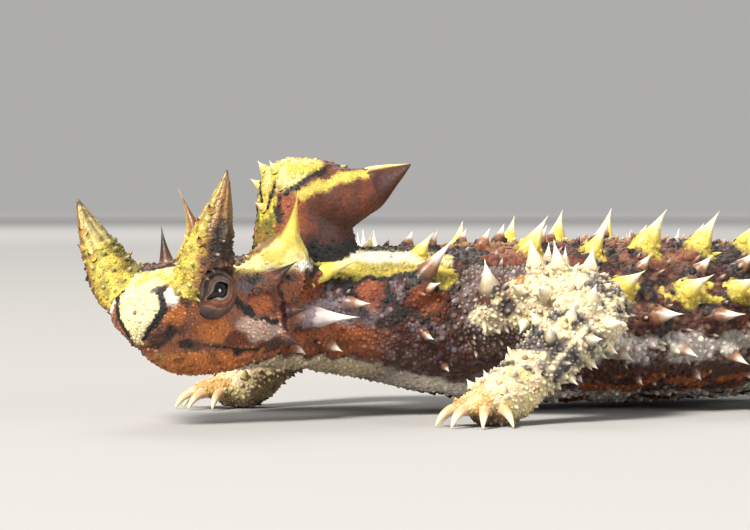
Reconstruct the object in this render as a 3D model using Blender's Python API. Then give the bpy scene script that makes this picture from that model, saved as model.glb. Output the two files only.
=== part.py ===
"""A thorny devil standing on four feet, at life size.

The body lies along X with its head towards -X, its left side faces -Y, and the floor is Z = 0.
Sizes here are in millimetres, and every mesh is written in metres."""

import random
from math import cos, pi, radians, sin

import bmesh
import bpy
import numpy as np
from mathutils import Euler, Matrix, Vector

MM = 0.001
GAP = 0.3  # left between two nodes that meet
SAMPLES = 24  # points read from each stretch between two stations

# Head: the point between the eyes, and how far the head turns, nods and tilts from straight ahead.
EYE_LINE = Vector((-54.5, -4.3, 12.7))
HEAD_TURN, HEAD_NOD, HEAD_TILT = 30, -1, -9
HEAD_BACK = 10.4  # from the eyes to the cut behind the head
MOUTH_HEIGHT, MOUTH_FALL = -5.9, 12  # at the eye line, and how steeply it falls towards its corners
JAW_CORNER = 5.0  # behind the eyes
EYE_RADIUS, EYE_OUT, EYE_UP = 1.75, 5.0, -0.1
LID_RADIUS, LID_THICK = 1.75, 0.5
EYE_FACING = 70  # from straight ahead

# Cuts along the back, measured along X.
SHOULDER, HIP = -20.0, 25.0
NECK_END, TAIL_START, TAIL_SECOND, TAIL_THIRD = -29.0, 33.5, 56.0, 76.0

COLOURS = {
    "rust": (0.42, 0.17, 0.08, 1.0),
    "cream": (0.80, 0.72, 0.48, 1.0),
    "horn": (0.62, 0.55, 0.28, 1.0),
    "eye": (0.02, 0.02, 0.02, 1.0),
}
ROUGHNESS = {"rust": 0.7, "cream": 0.7, "horn": 0.5, "eye": 0.08}

# Spines already placed: node, root, tip and radius, so that none crosses one on another node.
placed = []


def smooth_rows(rows, count):
    """Catmull-Rom samples through rows, with count steps to each stretch."""
    ends = np.vstack([2 * rows[0] - rows[1], rows, 2 * rows[-1] - rows[-2]])
    made = []
    for i in range(len(rows) - 1):
        a, b, c, d = ends[i : i + 4]
        for t in np.arange(count) / count:
            bend = (2 * a - 5 * b + 4 * c - d) * t**2 + (3 * b - a - 3 * c + d) * t**3
            made.append(0.5 * (2 * b + (c - a) * t + bend))
    return np.array([*made, rows[-1]])


class Form:
    """A length of flesh round a smooth axis. A station is x, y, z, half width, rise and drop."""

    def __init__(self, stations, up=(0, 0, 1), square=1.0, swellings=(), place=None):
        self.rows = smooth_rows(np.array(stations, float), SAMPLES)
        steps = np.linalg.norm(np.diff(self.rows[:, :3], axis=0), axis=1)
        self.along = np.concatenate([[0], np.cumsum(steps)])
        self.ahead = np.gradient(self.rows[:, :3], axis=0)
        self.up = Vector(up)
        self.square = square
        self.swellings = [(Vector(centre), reach, rise) for centre, reach, rise in swellings]
        self.place = place or Matrix.Identity(4)

    def station(self, i):
        """Distance along the axis of a station."""
        return self.along[i * SAMPLES]

    def from_x(self, x):
        """Distance along the axis at which it passes x."""
        return float(np.interp(x, self.rows[:, 0], self.along))

    def frame(self, s):
        row = [float(np.interp(s, self.along, column)) for column in self.rows.T]
        ahead = Vector([float(np.interp(s, self.along, column)) for column in self.ahead.T])
        ahead.normalize()
        left = ahead.cross(self.up).normalized()
        return Vector(row[:3]), ahead, left, left.cross(ahead), row[3:]

    def local(self, s, angle, grow=0.0):
        centre, _, left, top, (width, rise, drop) = self.frame(s)
        a = radians(angle)
        across = abs(sin(a)) ** self.square * (1 if sin(a) > 0 else -1)
        upward = abs(cos(a)) ** self.square * (1 if cos(a) > 0 else -1)
        height = rise if upward > 0 else drop
        point = centre + left * across * (width + grow) + top * upward * (height + grow)
        push = sum(rise * np.exp(-(((point - c).length / reach) ** 2)) for c, reach, rise in self.swellings)
        return point + (point - centre).normalized() * float(push)

    def at(self, s, angle, grow=0.0):
        """The point of the surface at s along the axis and angle round it, from the top to the left."""
        return self.place @ self.local(s, angle, grow)

    def outward(self, s, angle):
        lengthways = self.at(s + 0.2, angle) - self.at(s - 0.2, angle)
        return (self.at(s, angle + 2) - self.at(s, angle - 2)).cross(lengthways).normalized()

    def backward(self, s):
        return (self.place.to_3x3() @ self.frame(s)[1]).normalized()

    def holds(self, point, grow, span=(0, 1e6)):
        """Whether a point lies inside a span of the form grown by that much."""
        local = self.place.inverted() @ point
        spanned = np.flatnonzero((self.along >= span[0]) & (self.along <= span[1]))
        near = spanned[int(np.argmin(np.linalg.norm(self.rows[spanned, :3] - np.array(local), axis=1)))]
        centre, ahead, left, top, (width, rise, drop) = self.frame(self.along[near])
        gone = local - centre
        height = rise if gone.dot(top) > 0 else drop
        if abs(gone.dot(ahead)) > grow + 0.2:
            return False
        return (gone.dot(left) / (width + grow)) ** 2 + (gone.dot(top) / (height + grow)) ** 2 < 1

    def solid(self, name, start, end, rings, sides, grow=0.0):
        """A closed object between two distances along the axis, or on the rings listed."""
        where = rings if isinstance(rings, list) else list(np.linspace(start, end, rings))
        mesh = bmesh.new()
        loops = [
            [mesh.verts.new(self.at(s, 360 * (i + 0.5) / sides, grow) * MM) for i in range(sides)]
            for s in where
        ]
        for first, second in zip(loops, loops[1:]):
            for i in range(sides):
                j = (i + 1) % sides
                mesh.faces.new((first[i], second[i], second[j], first[j]))
        mesh.faces.new(loops[0])
        mesh.faces.new(loops[-1])
        return finish(name, mesh)


def finish(name, mesh):
    """An object from a bmesh, with its faces turned outwards."""
    mesh.normal_update()
    bmesh.ops.recalc_face_normals(mesh, faces=mesh.faces)
    data = bpy.data.meshes.new(name)
    mesh.to_mesh(data)
    mesh.free()
    made = bpy.data.objects.new(name, data)
    bpy.context.scene.collection.objects.link(made)
    return made


def combine(target, others, operation):
    """Applies one Boolean with every object in others, which are then removed."""
    if not others:
        return
    group = bpy.data.collections.new("pieces")
    bpy.context.scene.collection.children.link(group)
    for other in others:
        bpy.context.scene.collection.objects.unlink(other)
        group.objects.link(other)
    step = target.modifiers.new("combine", "BOOLEAN")
    step.operand_type = "COLLECTION"
    step.collection = group
    step.operation = operation
    step.solver = "MANIFOLD"
    graph = bpy.context.evaluated_depsgraph_get()
    made = bpy.data.meshes.new_from_object(target.evaluated_get(graph))
    target.modifiers.remove(step)
    target.data = made
    for other in others:
        bpy.data.objects.remove(other)
    bpy.data.collections.remove(group)
    keep_largest(target)


def keep_largest(target):
    """Leaves only the largest closed surface of an object."""
    mesh = bmesh.new()
    mesh.from_mesh(target.data)
    unseen, shells = set(mesh.verts), []
    while unseen:
        edge, shell = [unseen.pop()], []
        while edge:
            vert = edge.pop()
            shell.append(vert)
            near = {e.other_vert(vert) for e in vert.link_edges} & unseen
            unseen -= near
            edge += near
        shells.append(shell)
    largest = max(shells, key=lambda verts: spread(verts))
    for shell in shells:
        if shell is not largest:
            bmesh.ops.delete(mesh, geom=shell, context="VERTS")
    mesh.to_mesh(target.data)
    mesh.free()


def spread(verts):
    low = Vector(min(v.co[i] for v in verts) for i in range(3))
    high = Vector(max(v.co[i] for v in verts) for i in range(3))
    return (high - low).length


def box(name, low, high, place=None):
    mesh = bmesh.new()
    bmesh.ops.create_cube(mesh, size=1)
    low, high = Vector(low), Vector(high)
    for v in mesh.verts:
        v.co = (low + high) / 2 + Vector(v.co[i] * (high - low)[i] for i in range(3))
        v.co = (place or Matrix.Identity(4)) @ v.co * MM
    return finish(name, mesh)


def ball(name, centre, radius, segments=12, rings=8):
    mesh = bmesh.new()
    bmesh.ops.create_uvsphere(mesh, u_segments=segments, v_segments=rings, radius=radius * MM)
    bmesh.ops.translate(mesh, verts=mesh.verts, vec=centre * MM)
    return finish(name, mesh)


def thorn(root, aim, height, radius, sweep, sides=5, waist=0.42):
    """One spine: a cone on a sunk root, narrowed at a waist and swept towards its tip."""
    aim = aim.normalized()
    side = aim.orthogonal().normalized()
    other = aim.cross(side)
    sunk = root - aim * (0.35 * height + 0.5)
    levels = ((sunk, radius * 1.1), (root + aim * height * 0.36 + sweep * 0.2, radius * waist))
    mesh = bmesh.new()
    loops = [
        [
            mesh.verts.new((centre + (side * cos(a) + other * sin(a)) * size) * MM)
            for a in (2 * pi * i / sides for i in range(sides))
        ]
        for centre, size in levels
    ]
    tip = mesh.verts.new((root + aim * height + sweep) * MM)
    for i in range(sides):
        j = (i + 1) % sides
        mesh.faces.new((loops[0][i], loops[1][i], loops[1][j], loops[0][j]))
        mesh.faces.new((loops[1][i], tip, loops[1][j]))
    mesh.faces.new(loops[0])
    return finish("thorn", mesh)


def apart(a, b, c, d):
    """Least distance between segments ab and cd, read at a few points of each."""
    steps = (0.0, 0.25, 0.5, 0.75, 1.0)
    return min((a.lerp(b, i) - c.lerp(d, j)).length for i in steps for j in steps)


def grow(node, form, s, angle, height, radius, lean=0.35, sweep=0.12, others=(), lift=0.0):
    """A spine of a node on its form, or None where it would cross another node."""
    root = form.at(s, angle)
    back = form.backward(s)
    aim = (form.outward(s, angle) + back * lean + Vector((0, 0, lift))).normalized()
    tip = root + aim * height + back * sweep * height
    for other, clearance, *span in others:
        if any(other.holds(root.lerp(tip, t), clearance + radius * (1 - t), *span) for t in (0, 0.3, 0.6, 1)):
            return None
    for owner, first, last, size in placed:
        if owner != node and apart(root, tip, first, last) < (size + radius) * 0.6 + GAP:
            return None
    placed.append((node, root, tip, radius))
    return thorn(root, aim, height, radius, back * sweep * height)


def grow_rows(node, form, start, end, step, rows, seed, others=(), size=lambda t: 1.0, **shape):
    """Staggered rows of spines on both sides. A row is angle, height and radius."""
    draw = random.Random(seed)
    made = []
    count = max(1, round((end - start) / step))
    for k, (angle, height, radius) in enumerate(rows):
        for i in range(count):
            t = (i + (0.25 if k % 2 else 0.75)) / count
            for side in (1, -1):
                s = start + (end - start) * t + draw.uniform(-0.08, 0.08) * step
                turn = side * (angle + draw.uniform(-3, 3))
                share = size(t) * draw.uniform(0.85, 1.12)
                made.append(grow(node, form, s, turn, height * share, radius * share, others=others, **shape))
    return [thorn for thorn in made if thorn]


def head_frame():
    turned = Euler((radians(HEAD_TILT), radians(HEAD_NOD), radians(HEAD_TURN)), "XYZ").to_matrix().to_4x4()
    return Matrix.Translation(EYE_LINE) @ turned


def in_head(ahead, left, up):
    """A point of the head: ahead of the eyes, to the left and above them."""
    return head_frame() @ Vector((-ahead, -left, up))


def head_form():
    stations = [
        (-7.1, 0, -1.2, 0.6, 0.5, 0.6),
        (-6.85, 0, -1.3, 1.7, 1.2, 1.6),
        (-6.2, 0, -1.45, 2.8, 1.8, 2.6),
        (-5.0, 0, -1.7, 3.8, 2.7, 3.8),
        (-3.3, 0, -2.05, 4.8, 4.45, 4.6),
        (-1.4, 0, -2.2, 5.6, 5.2, 4.9),
        (0.8, 0, -2.2, 6.1, 5.4, 5.1),
        (3.6, 0, -2.2, 6.7, 5.4, 5.5),
        (6.2, 0, -2.3, 7.4, 5.3, 5.5),
        (8.6, 0, -2.4, 7.9, 5.1, 5.3),
        (10.0, 0, -2.5, 7.3, 5.0, 5.1),
        (11.8, 0, -2.5, 6.7, 5.0, 5.0),
    ]
    brows = [((-0.4, side * 5.2, 1.9), 2.6, 1.0) for side in (1, -1)]
    nostrils = [((-4.9, side * 2.0, 0.8), 1.2, 0.45) for side in (1, -1)]
    cheeks = [((5.0, side * 7.0, -4.6), 2.6, 0.5) for side in (1, -1)]
    ridges = [((-4.4, side * 4.6, 0.8), 2.1, 1.4) for side in (1, -1)]
    chin = [((-3.8, side * 3.4, -4.7), 3.0, -1.9) for side in (1, -1)]
    jowls = [((-0.4, side * 5.4, -5.6), 3.0, -1.3) for side in (1, -1)]
    swellings = brows + nostrils + cheeks + ridges + chin + jowls
    return Form(stations, square=0.86, swellings=swellings, place=head_frame())


def back_form():
    """Neck, trunk and tail as one length, from inside the head to the tip of the tail."""
    neck = [(*in_head(-6.4, 0, -2.5), 6.2, 4.9, 5.0), (*in_head(-HEAD_BACK, 0, -2.5), 6.4, 5.2, 5.2)]
    trunk = [
        (-41, 2.3, 11.2, 6.6, 5.8, 6.1),
        (-35, 2.5, 11.7, 7.2, 6.0, 6.8),
        (-28, 2.1, 11.3, 8.6, 6.4, 7.4),
        (-20, 1.7, 10.6, 10.6, 7.1, 8.4),
        (-11, 1.5, 10.2, 13.3, 7.7, 9.0),
        (0, 1.5, 10.0, 16.0, 8.1, 9.1),
        (11, 1.5, 10.0, 16.6, 8.1, 9.1),
        (20, 1.3, 10.1, 14.0, 7.6, 8.8),
        (27, 0.9, 10.1, 10.4, 6.8, 7.8),
        (33.5, 0.5, 9.6, 7.6, 5.8, 6.3),
    ]
    tail = [
        (42, 0.3, 9.0, 6.1, 5.2, 5.2),
        (54, 1.4, 8.4, 5.4, 4.8, 4.6),
        (67, 3.4, 8.9, 4.6, 4.2, 4.0),
        (79, 5.0, 10.8, 3.9, 3.6, 3.5),
        (89, 5.4, 13.6, 3.2, 3.0, 2.9),
        (94.5, 4.9, 15.7, 2.5, 2.4, 2.3),
        (96.6, 4.6, 16.6, 1.4, 1.3, 1.3),
        (97.2, 4.5, 16.9, 0.5, 0.5, 0.5),
    ]
    return Form(neck + trunk + tail, square=0.92)


def limb_points(side, joints):
    """Joint places given for a left limb, mirrored for a right one."""
    return [(x, -y if side == "right" else y, z) for x, y, z in joints]


# Each limb: its joints from the root in the body to the ball of the foot, on its own side of the body.
LIMBS = {
    ("fore", "left"): [(-20, -7.0, 11), (-16.2, -13.0, 12.0), (-12.4, -17.8, 11.4), (-18.0, -19.8, 7.8),
                       (-23.8, -20.3, 4.0), (-27.2, -20.6, 2.4)],
    ("fore", "right"): [(-20, -7.0, 11), (-19.4, -14.4, 11.8), (-19.4, -20.6, 10.9), (-25.6, -20.8, 7.6),
                        (-31.8, -19.8, 4.0), (-35.2, -19.4, 2.4)],
    ("hind", "left"): [(25, -6.0, 10), (18.8, -14.4, 11.6), (13.6, -20.6, 11.2), (18.0, -23.4, 7.6),
                       (22.6, -25.6, 4.2), (21.0, -28.6, 2.3)],
    ("hind", "right"): [(25, -6.0, 10), (19.8, -15.2, 11.4), (16.0, -21.4, 11.0), (21.2, -23.8, 7.6),
                        (26.4, -25.4, 4.2), (25.6, -28.9, 2.3)],
}
# Half thickness at each of those joints.
GIRTHS = {"fore": (4.6, 3.6, 3.4, 3.1, 2.5, 2.4), "hind": (5.4, 4.2, 3.7, 3.0, 2.4, 2.4)}
# Directions of the digits in plan, from straight ahead towards the animal's own outer side.
DIGITS = {"fore": (-38, -8, 22, 54, 92), "hind": (14, 38, 62, 86, 118)}
DIGIT_LENGTHS = {"fore": (3.0, 3.8, 4.2, 3.9, 2.9), "hind": (3.0, 4.0, 4.5, 4.1, 3.0)}
UPPER_SHARE = 1.35  # how much taller spines stand on the upper limb than on the lower


def limb_form(limb, side):
    points = limb_points(side, LIMBS[limb, side])
    out = 1 if side == "right" else -1
    rows = [(*point, girth, girth, girth) for point, girth in zip(points, GIRTHS[limb])]
    return Form(rows, up=(0, 0.6 * out, 0.8))


def foot_form(limb, side):
    """The flat of the hand or foot, from before the wrist or ankle to the roots of the digits."""
    wrist, sole = (Vector(point) for point in limb_points(side, LIMBS[limb, side])[-2:])
    way = sole - wrist
    toes = Vector((sole.x, sole.y, 1.7)) + Vector((way.x, way.y, 0)) * 0.42
    places = (wrist - way * 0.9, wrist, sole, toes)
    sizes = ((2.2, 2.1, 2.1), (2.5, 2.3, 3.3), (3.0, 1.7, 2.8), (1.5, 0.8, 1.9))
    return Form([(*place, *size) for place, size in zip(places, sizes)])


def block(form, s, low, high):
    """A block across a form, from low to high along it as measured from the ring at s."""
    centre, ahead, left, top, _ = form.frame(s)
    turn = Matrix((ahead, left, top)).transposed().to_4x4()
    return box("block", (low, -14, -14), (high, 14, 14), Matrix.Translation(centre) @ turn)


def digit(centre, heading, length):
    """A short arched digit with its claw curving down to the floor."""
    way = Vector((-cos(heading), -sin(heading), 0))
    root = centre - way * 0.3
    arch = [(0.0, 2.1, 1.05), (0.45, 2.5, 1.0), (0.85, 2.0, 0.92), (1.0, 1.6, 0.7)]
    toe = Form([(*(root + way * length * t).xy, z, r, r, r) for t, z, r in arch])
    curve = [(-0.7, 1.8, 0.62), (0.35, 1.75, 0.55), (1.3, 1.2, 0.4), (1.95, 0.35, 0.16), (2.1, -0.1, 0.08)]
    claw = Form([(*(root + way * (length + t)).xy, z, r, r, r) for t, z, r in curve])
    return toe, claw


def make_limb(limb, side, back):
    """Upper and lower limb and the foot, as three nodes."""
    names = {
        "fore": (f"upper_arm_{side}", f"forearm_{side}", f"hand_{side}"),
        "hind": (f"thigh_{side}", f"shin_{side}", f"foot_{side}"),
    }[limb]
    form = limb_form(limb, side)
    bend, wrist = form.station(2) - GAP / 2, form.station(4) - GAP / 2
    upper = form.solid(names[0], 0, bend, 6, 10)
    trunk = back.solid("cut", back.from_x(SHOULDER - 16), back.from_x(HIP + 14), 22, 24, GAP)
    combine(upper, [trunk], "DIFFERENCE")
    lower = form.solid(names[1], bend - 0.6, wrist, 6, 10)
    out = 1 if side == "left" else -1
    first = 1 if limb == "fore" else 2
    big = 3.2 if limb == "fore" else 3.4
    rows = [(0, big, 1.35), (48, big * 0.75, 1.1), (-48, big * 0.75, 1.1), (100, 1.6, 0.8),
            (-100, 1.6, 0.8)]
    palm = foot_form(limb, side)
    keep = ([(back, 0.4), (form, 0.3, (bend, wrist))], [(back, 0.4), (form, 0.3, (0, bend)), (palm, 0.3)])
    thorns = [[], []]
    draw = random.Random(7 * first + (3 if side == "left" else 5))
    spans = ((form.station(1) - 1.0, bend - 1.0, 3), (bend + 1.2, wrist - 0.8, 4))
    for part, (start, end, count) in enumerate(spans):
        for k, (angle, height, radius) in enumerate(rows):
            for i in range(count):
                t = (i + (0.3 if k % 2 else 0.7)) / count
                share = draw.uniform(0.8, 1.1) * (1 - 0.25 * t * part)
                tall = height * share * (1 if part else UPPER_SHARE)
                thorns[part].append(grow(names[part], form, start + (end - start) * t, angle * out, tall,
                                         radius * share, lean=-0.1, sweep=0.0, others=keep[part]))
    combine(upper, [t for t in thorns[0] if t], "UNION")
    combine(upper, [block(form, bend, 0, 14)], "DIFFERENCE")
    combine(lower, [t for t in thorns[1] if t], "UNION")
    combine(lower, [block(form, bend, -14, GAP), block(form, wrist, 0, 9)], "DIFFERENCE")
    flat = palm.solid(names[2], 0, palm.along[-1], 8, 12)
    combine(flat, [block(form, wrist, -9, GAP)], "DIFFERENCE")
    centre = Vector(limb_points(side, LIMBS[limb, side])[-1])
    heads = [radians(a * out) for a in DIGITS[limb]]
    pieces = []
    for heading, length in zip(heads, DIGIT_LENGTHS[limb]):
        toe, claw = digit(centre, heading, length)
        pieces.append(toe.solid("toe", 0, toe.along[-1], 4, 7))
        pieces.append(claw.solid("claw", 0, claw.along[-1], 5, 5))
    for angle, s in ((0, 2.8), (52, 3.2), (-52, 3.2)):
        pieces.append(grow(names[2], palm, palm.station(1) + s, angle, 1.3, 0.7, lean=-0.3,
                           others=[(form, 0.3, (0, wrist))]))
    combine(flat, [p for p in pieces if p], "UNION")
    combine(flat, [box("floor", (-200, -200, -20), (200, 200, 0))], "DIFFERENCE")
    return upper, lower, flat


def make_head(head, back):
    """Head, jaw, eyes and horns."""
    rings = [0, 0.35, 1.1, 2.1, 3.3, 4.6, 5.9, 7.2, 8.7, 10.6, 12.6, 14.6, 16.4, HEAD_BACK + 7.3]
    skull = head.solid("head", 0, 0, rings, 22)
    parts = []
    for side in (1, -1):
        ring = bmesh.new()
        facing = Vector((-cos(radians(EYE_FACING)), -side * sin(radians(EYE_FACING)), 0.06))
        centre = Vector((0, -side * EYE_OUT, EYE_UP)) + facing * 0.85
        turn = facing.to_track_quat("Z", "Y").to_matrix().to_4x4()
        turn = head_frame() @ Matrix.Translation(centre) @ turn
        major, minor = 12, 6
        loops = []
        for i in range(major):
            a = 2 * pi * i / major
            loop = []
            for j in range(minor):
                b = 2 * pi * j / minor
                reach = LID_RADIUS + LID_THICK * cos(b)
                point = turn @ Vector((reach * cos(a), reach * sin(a), LID_THICK * sin(b)))
                loop.append(ring.verts.new(point * MM))
            loops.append(loop)
        for i in range(major):
            for j in range(minor):
                k, m = (i + 1) % major, (j + 1) % minor
                ring.faces.new((loops[i][j], loops[k][j], loops[k][m], loops[i][m]))
        parts.append(finish("lid", ring))
    combine(skull, parts, "UNION")
    cuts = [block(back, back.station(1) - GAP / 2, 0, 9)]
    for side in (1, -1):
        cuts.append(ball("socket", in_head(0, side * EYE_OUT, EYE_UP), EYE_RADIUS + GAP, 14, 9))
        cuts.append(ball("ear", in_head(-8.4, side * 8.2, -2.6), 1.1, 8, 6))
        cuts.append(ball("nostril", in_head(5.2, side * 2.3, 1.0), 0.45, 6, 4))
    combine(skull, cuts, "DIFFERENCE")
    slope = Matrix.Rotation(radians(MOUTH_FALL), 4, "Y")
    mouth = head_frame() @ Matrix.Translation((0, 0, MOUTH_HEIGHT)) @ slope
    jaw = skull.copy()
    jaw.data = skull.data.copy()
    jaw.name = "jaw"
    bpy.context.scene.collection.objects.link(jaw)
    combine(jaw, [box("below", (-20, -20, -20), (JAW_CORNER, 20, -GAP / 2), mouth)], "INTERSECT")
    combine(skull, [box("below", (-20, -20, -20), (JAW_CORNER + GAP, 20, GAP / 2), mouth)], "DIFFERENCE")
    horns = [make_horn(side, head) for side in ("left", "right")]
    thorns = []
    for s, angle, heights, radius, lean, lift in HEAD_SPINES:
        for side, height in zip((1, -1), heights):
            thorns.append(grow("head", head, s, side * angle, height, radius, lean=lean, lift=lift,
                               others=[(h, 0.35) for h, _ in horns] + [(back, 0.0)] * (s < 15)))
    combine(skull, [t for t in thorns if t], "UNION")
    eyes = [ball(f"eye_{name}", in_head(0, side * EYE_OUT, EYE_UP), EYE_RADIUS, 14, 10)
            for name, side in (("left", 1), ("right", -1))]
    return [skull, jaw, *eyes, *[solid for _, solid in horns]]


# Spines of the head: distance from the snout, angle from the top, height on the left and on the right,
# radius, lean back and lift.
HEAD_SPINES = [
    (2.6, 36, (0.7, 0.7), 0.5, 0.0, 0.2),
    (4.2, 64, (0.9, 0.9), 0.55, 0.0, 0.2),
    (15.4, 36, (3.4, 6.6), 1.4, 0.1, 0.7),
    (14.2, 64, (4.0, 4.0), 1.4, 0.9, 0.1),
    (16.0, 92, (2.4, 2.4), 1.1, 0.5, 0.0),
    (15.8, 118, (2.2, 2.2), 1.1, 0.4, 0.0),
    (12.4, 74, (1.0, 1.0), 0.6, 0.3, 0.0),
    (14.0, 14, (1.2, 1.2), 0.7, 0.3, 0.0),
]


def make_horn(side, head):
    """The long horn over an eye, with small spines up its front edge."""
    out = 1 if side == "left" else -1
    path = [(0.5, 4.8, 0.6, 2.7, 3.4), (0.8, 5.5, 2.8, 2.5, 3.2), (0.8, 6.5, 5.2, 1.85, 2.55),
            (0.6, 7.6, 7.7, 1.15, 1.6), (0.4, 8.5, 9.8, 0.6, 0.8), (0.3, 9.1, 11.6, 0.1, 0.1)]
    form = Form([(-a, -out * b, c, w, d, d) for a, b, c, w, d in path], up=(-1, 0, 0), place=head_frame())
    horn = form.solid(f"horn_{side}", 0, form.along[-1], 8, 9)
    lids = ball("lids", in_head(0.1, out * (EYE_OUT + 0.7), EYE_UP), LID_RADIUS + LID_THICK + GAP, 16, 12)
    combine(horn, [head.solid("cut", 0, 18.5, 20, 22, GAP), lids], "DIFFERENCE")
    small = [grow(horn.name, form, s, angle, height, 0.55, lean=0.5)
             for s, angle, height in ((4.6, 10, 1.0), (6.2, -15, 0.8), (7.6, 5, 1.0), (5.4, 170, 0.7))]
    combine(horn, [t for t in small if t], "UNION")
    return form, horn


def make_knob(back):
    """The false head on the nape, which ends in two spines swept back."""
    stations = [
        (-36.4, 1.8, 11.5, 4.7, 5.0, 6.0),
        (-36.4, 1.8, 16.0, 4.6, 4.7, 6.4),
        (-36.3, 1.7, 20.0, 4.4, 4.4, 5.6),
        (-36.1, 1.6, 23.4, 4.2, 4.3, 4.8),
        (-36.0, 1.6, 25.3, 3.8, 4.0, 4.2),
        (-36.0, 1.6, 26.4, 3.0, 3.3, 3.4),
        (-36.0, 1.6, 26.9, 1.5, 1.7, 1.7),
    ]
    form = Form(stations, up=(-1, 0, 0), square=0.85)
    knob = form.solid("nape_knob", 0, form.along[-1], 9, 12)
    points = []
    for out in (1, -1):
        path = [
            (-37.0, 1.6 - out * 1.6, 23.4, 2.6, 2.6, 3.6),
            (-34.0, 1.6 - out * 3.0, 23.8, 2.4, 2.3, 4.8),
            (-31.2, 1.5 - out * 4.4, 24.4, 1.7, 1.6, 3.4),
            (-28.6, 1.5 - out * 5.7, 25.4, 0.9, 0.9, 1.3),
            (-27.0, 1.5 - out * 6.7, 26.3, 0.1, 0.1, 0.1),
        ]
        spine = Form(path)
        points.append(spine.solid("spine", 0, spine.along[-1], 6, 8))
    combine(knob, points, "UNION")
    combine(knob, [back.solid("cut", 0, back.from_x(-20), 16, 20, GAP)], "DIFFERENCE")
    small = [grow("nape_knob", form, s, angle, 1.2, 0.7, lean=0.4, others=[(back, 0.6)])
             for s, angle in ((12.4, 30), (12.4, -30), (14.2, 12), (14.2, -24), (10.0, 0))]
    combine(knob, [t for t in small if t], "UNION")
    return form, knob


# Spines of the neck: distance behind the head, angle from the top, height, radius, lean and lift.
NECK_SPINES = [
    (2.6, 46, 9.6, 3.1, 0.0, 1.0),
    (8.0, 60, 5.6, 1.7, 1.5, 0.0),
    (2.6, 92, 2.6, 1.2, 0.8, 0.0),
    (6.4, 96, 5.4, 1.6, 0.9, 0.0),
    (11.6, 88, 2.6, 1.2, 0.8, 0.0),
    (4.2, 124, 1.6, 0.9, 0.6, 0.0),
    (9.6, 122, 2.0, 1.0, 0.6, 0.0),
]
# The tall spine before each shoulder: x, angle from the top, height, radius, lean and lift.
SHOULDER_SPINE = (-26.4, 66, 5.8, 1.9, 0.9, 1.2)
# Rows of the trunk and of the tail: angle from the top, height and radius.
TRUNK_ROWS = [(13, 2.4, 1.1), (34, 4.6, 1.7), (54, 2.6, 1.2), (70, 4.0, 1.6), (88, 4.4, 1.6),
              (108, 2.4, 1.1), (128, 1.2, 0.8)]
TAIL_ROWS = [(22, 3.0, 1.2), (66, 3.2, 1.25), (108, 2.6, 1.1), (152, 1.3, 0.8)]


def make_back(back, knob, limbs):
    """Neck, torso and the three lengths of the tail."""
    cuts = [back.station(1), back.from_x(NECK_END), back.from_x(TAIL_START), back.from_x(TAIL_SECOND),
            back.from_x(TAIL_THIRD), back.along[-1]]
    names = ("neck", "torso", "tail_root", "tail_middle", "tail_tip")
    rings, sides = (6, 15, 6, 5, 8), (16, 20, 14, 12, 12)
    made = []
    for i, name in enumerate(names):
        start, end = cuts[i] + GAP / 2, cuts[i + 1] - (GAP / 2 if i < 4 else 0)
        made.append(back.solid(name, start, end, rings[i], sides[i]))
    keep = [(form, 0.5) for form in limbs]
    thorns = []
    for s, angle, height, radius, lean, lift in NECK_SPINES:
        for side in (1, -1):
            others = keep if height > 5 else [(knob, 0.4), *keep]
            thorns.append(grow("neck", back, cuts[0] + s, side * angle, height, radius, lean=lean,
                               lift=lift, others=others))
    combine(made[0], [t for t in thorns if t], "UNION")
    behind_head = block(back, cuts[0] + GAP / 2, -14, 0)
    combine(made[0], [knob.solid("cut", 0, knob.along[-1], 9, 12, GAP), behind_head], "DIFFERENCE")
    x, angle, height, radius, lean, lift = SHOULDER_SPINE
    tall = [grow("torso", back, back.from_x(x), side * angle, height, radius, lean=lean, lift=lift,
                 others=keep) for side in (1, -1)]
    rows = grow_rows("torso", back, cuts[1] + 1.5, cuts[2] - 1.5, 6.4, TRUNK_ROWS, 11, keep,
                     lambda t: 0.75 + 0.3 * sin(pi * t))
    combine(made[1], [t for t in tall if t] + rows, "UNION")
    combine(made[1], [block(back, cuts[1] + GAP / 2, -14, 0)], "DIFFERENCE")
    for i, (seed, share) in enumerate(((21, 1.0), (22, 0.85), (23, 0.66))):
        start, end = cuts[i + 2] + 1.3, cuts[i + 3] - (1.3 if i < 2 else 3.0)
        rows = grow_rows(names[i + 2], back, start, end, 5.6, TAIL_ROWS, seed, keep,
                         lambda t, share=share: share)
        combine(made[i + 2], rows, "UNION")
    return made


def centre_model(objects):
    """Moves the model so that its box stands centred on the origin."""
    points = [v.co for obj in objects for v in obj.data.vertices]
    low = Vector(min(p[i] for p in points) for i in range(3))
    high = Vector(max(p[i] for p in points) for i in range(3))
    move = Vector((-(low.x + high.x) / 2, -(low.y + high.y) / 2, -low.z))
    for obj in objects:
        obj.data.transform(Matrix.Translation(move))
    return move


def colour(objects):
    """Gives each object a material of its own."""
    pale = ("upper", "forearm", "hand", "thigh", "shin", "foot")
    for obj in objects:
        first = obj.name.split("_")[0]
        kind = {"eye": "eye", "horn": "horn", "nape": "horn"}.get(first, "cream" if first in pale else "rust")
        material = bpy.data.materials.new(f"{kind}_{obj.name}")
        material.use_nodes = True
        shader = material.node_tree.nodes["Principled BSDF"]
        shader.inputs["Base Color"].default_value = COLOURS[kind]
        shader.inputs["Roughness"].default_value = ROUGHNESS[kind]
        shader.inputs["Metallic"].default_value = 0.0
        obj.data.materials.clear()
        obj.data.materials.append(material)
        if kind == "eye":
            obj.data.shade_smooth()


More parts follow.
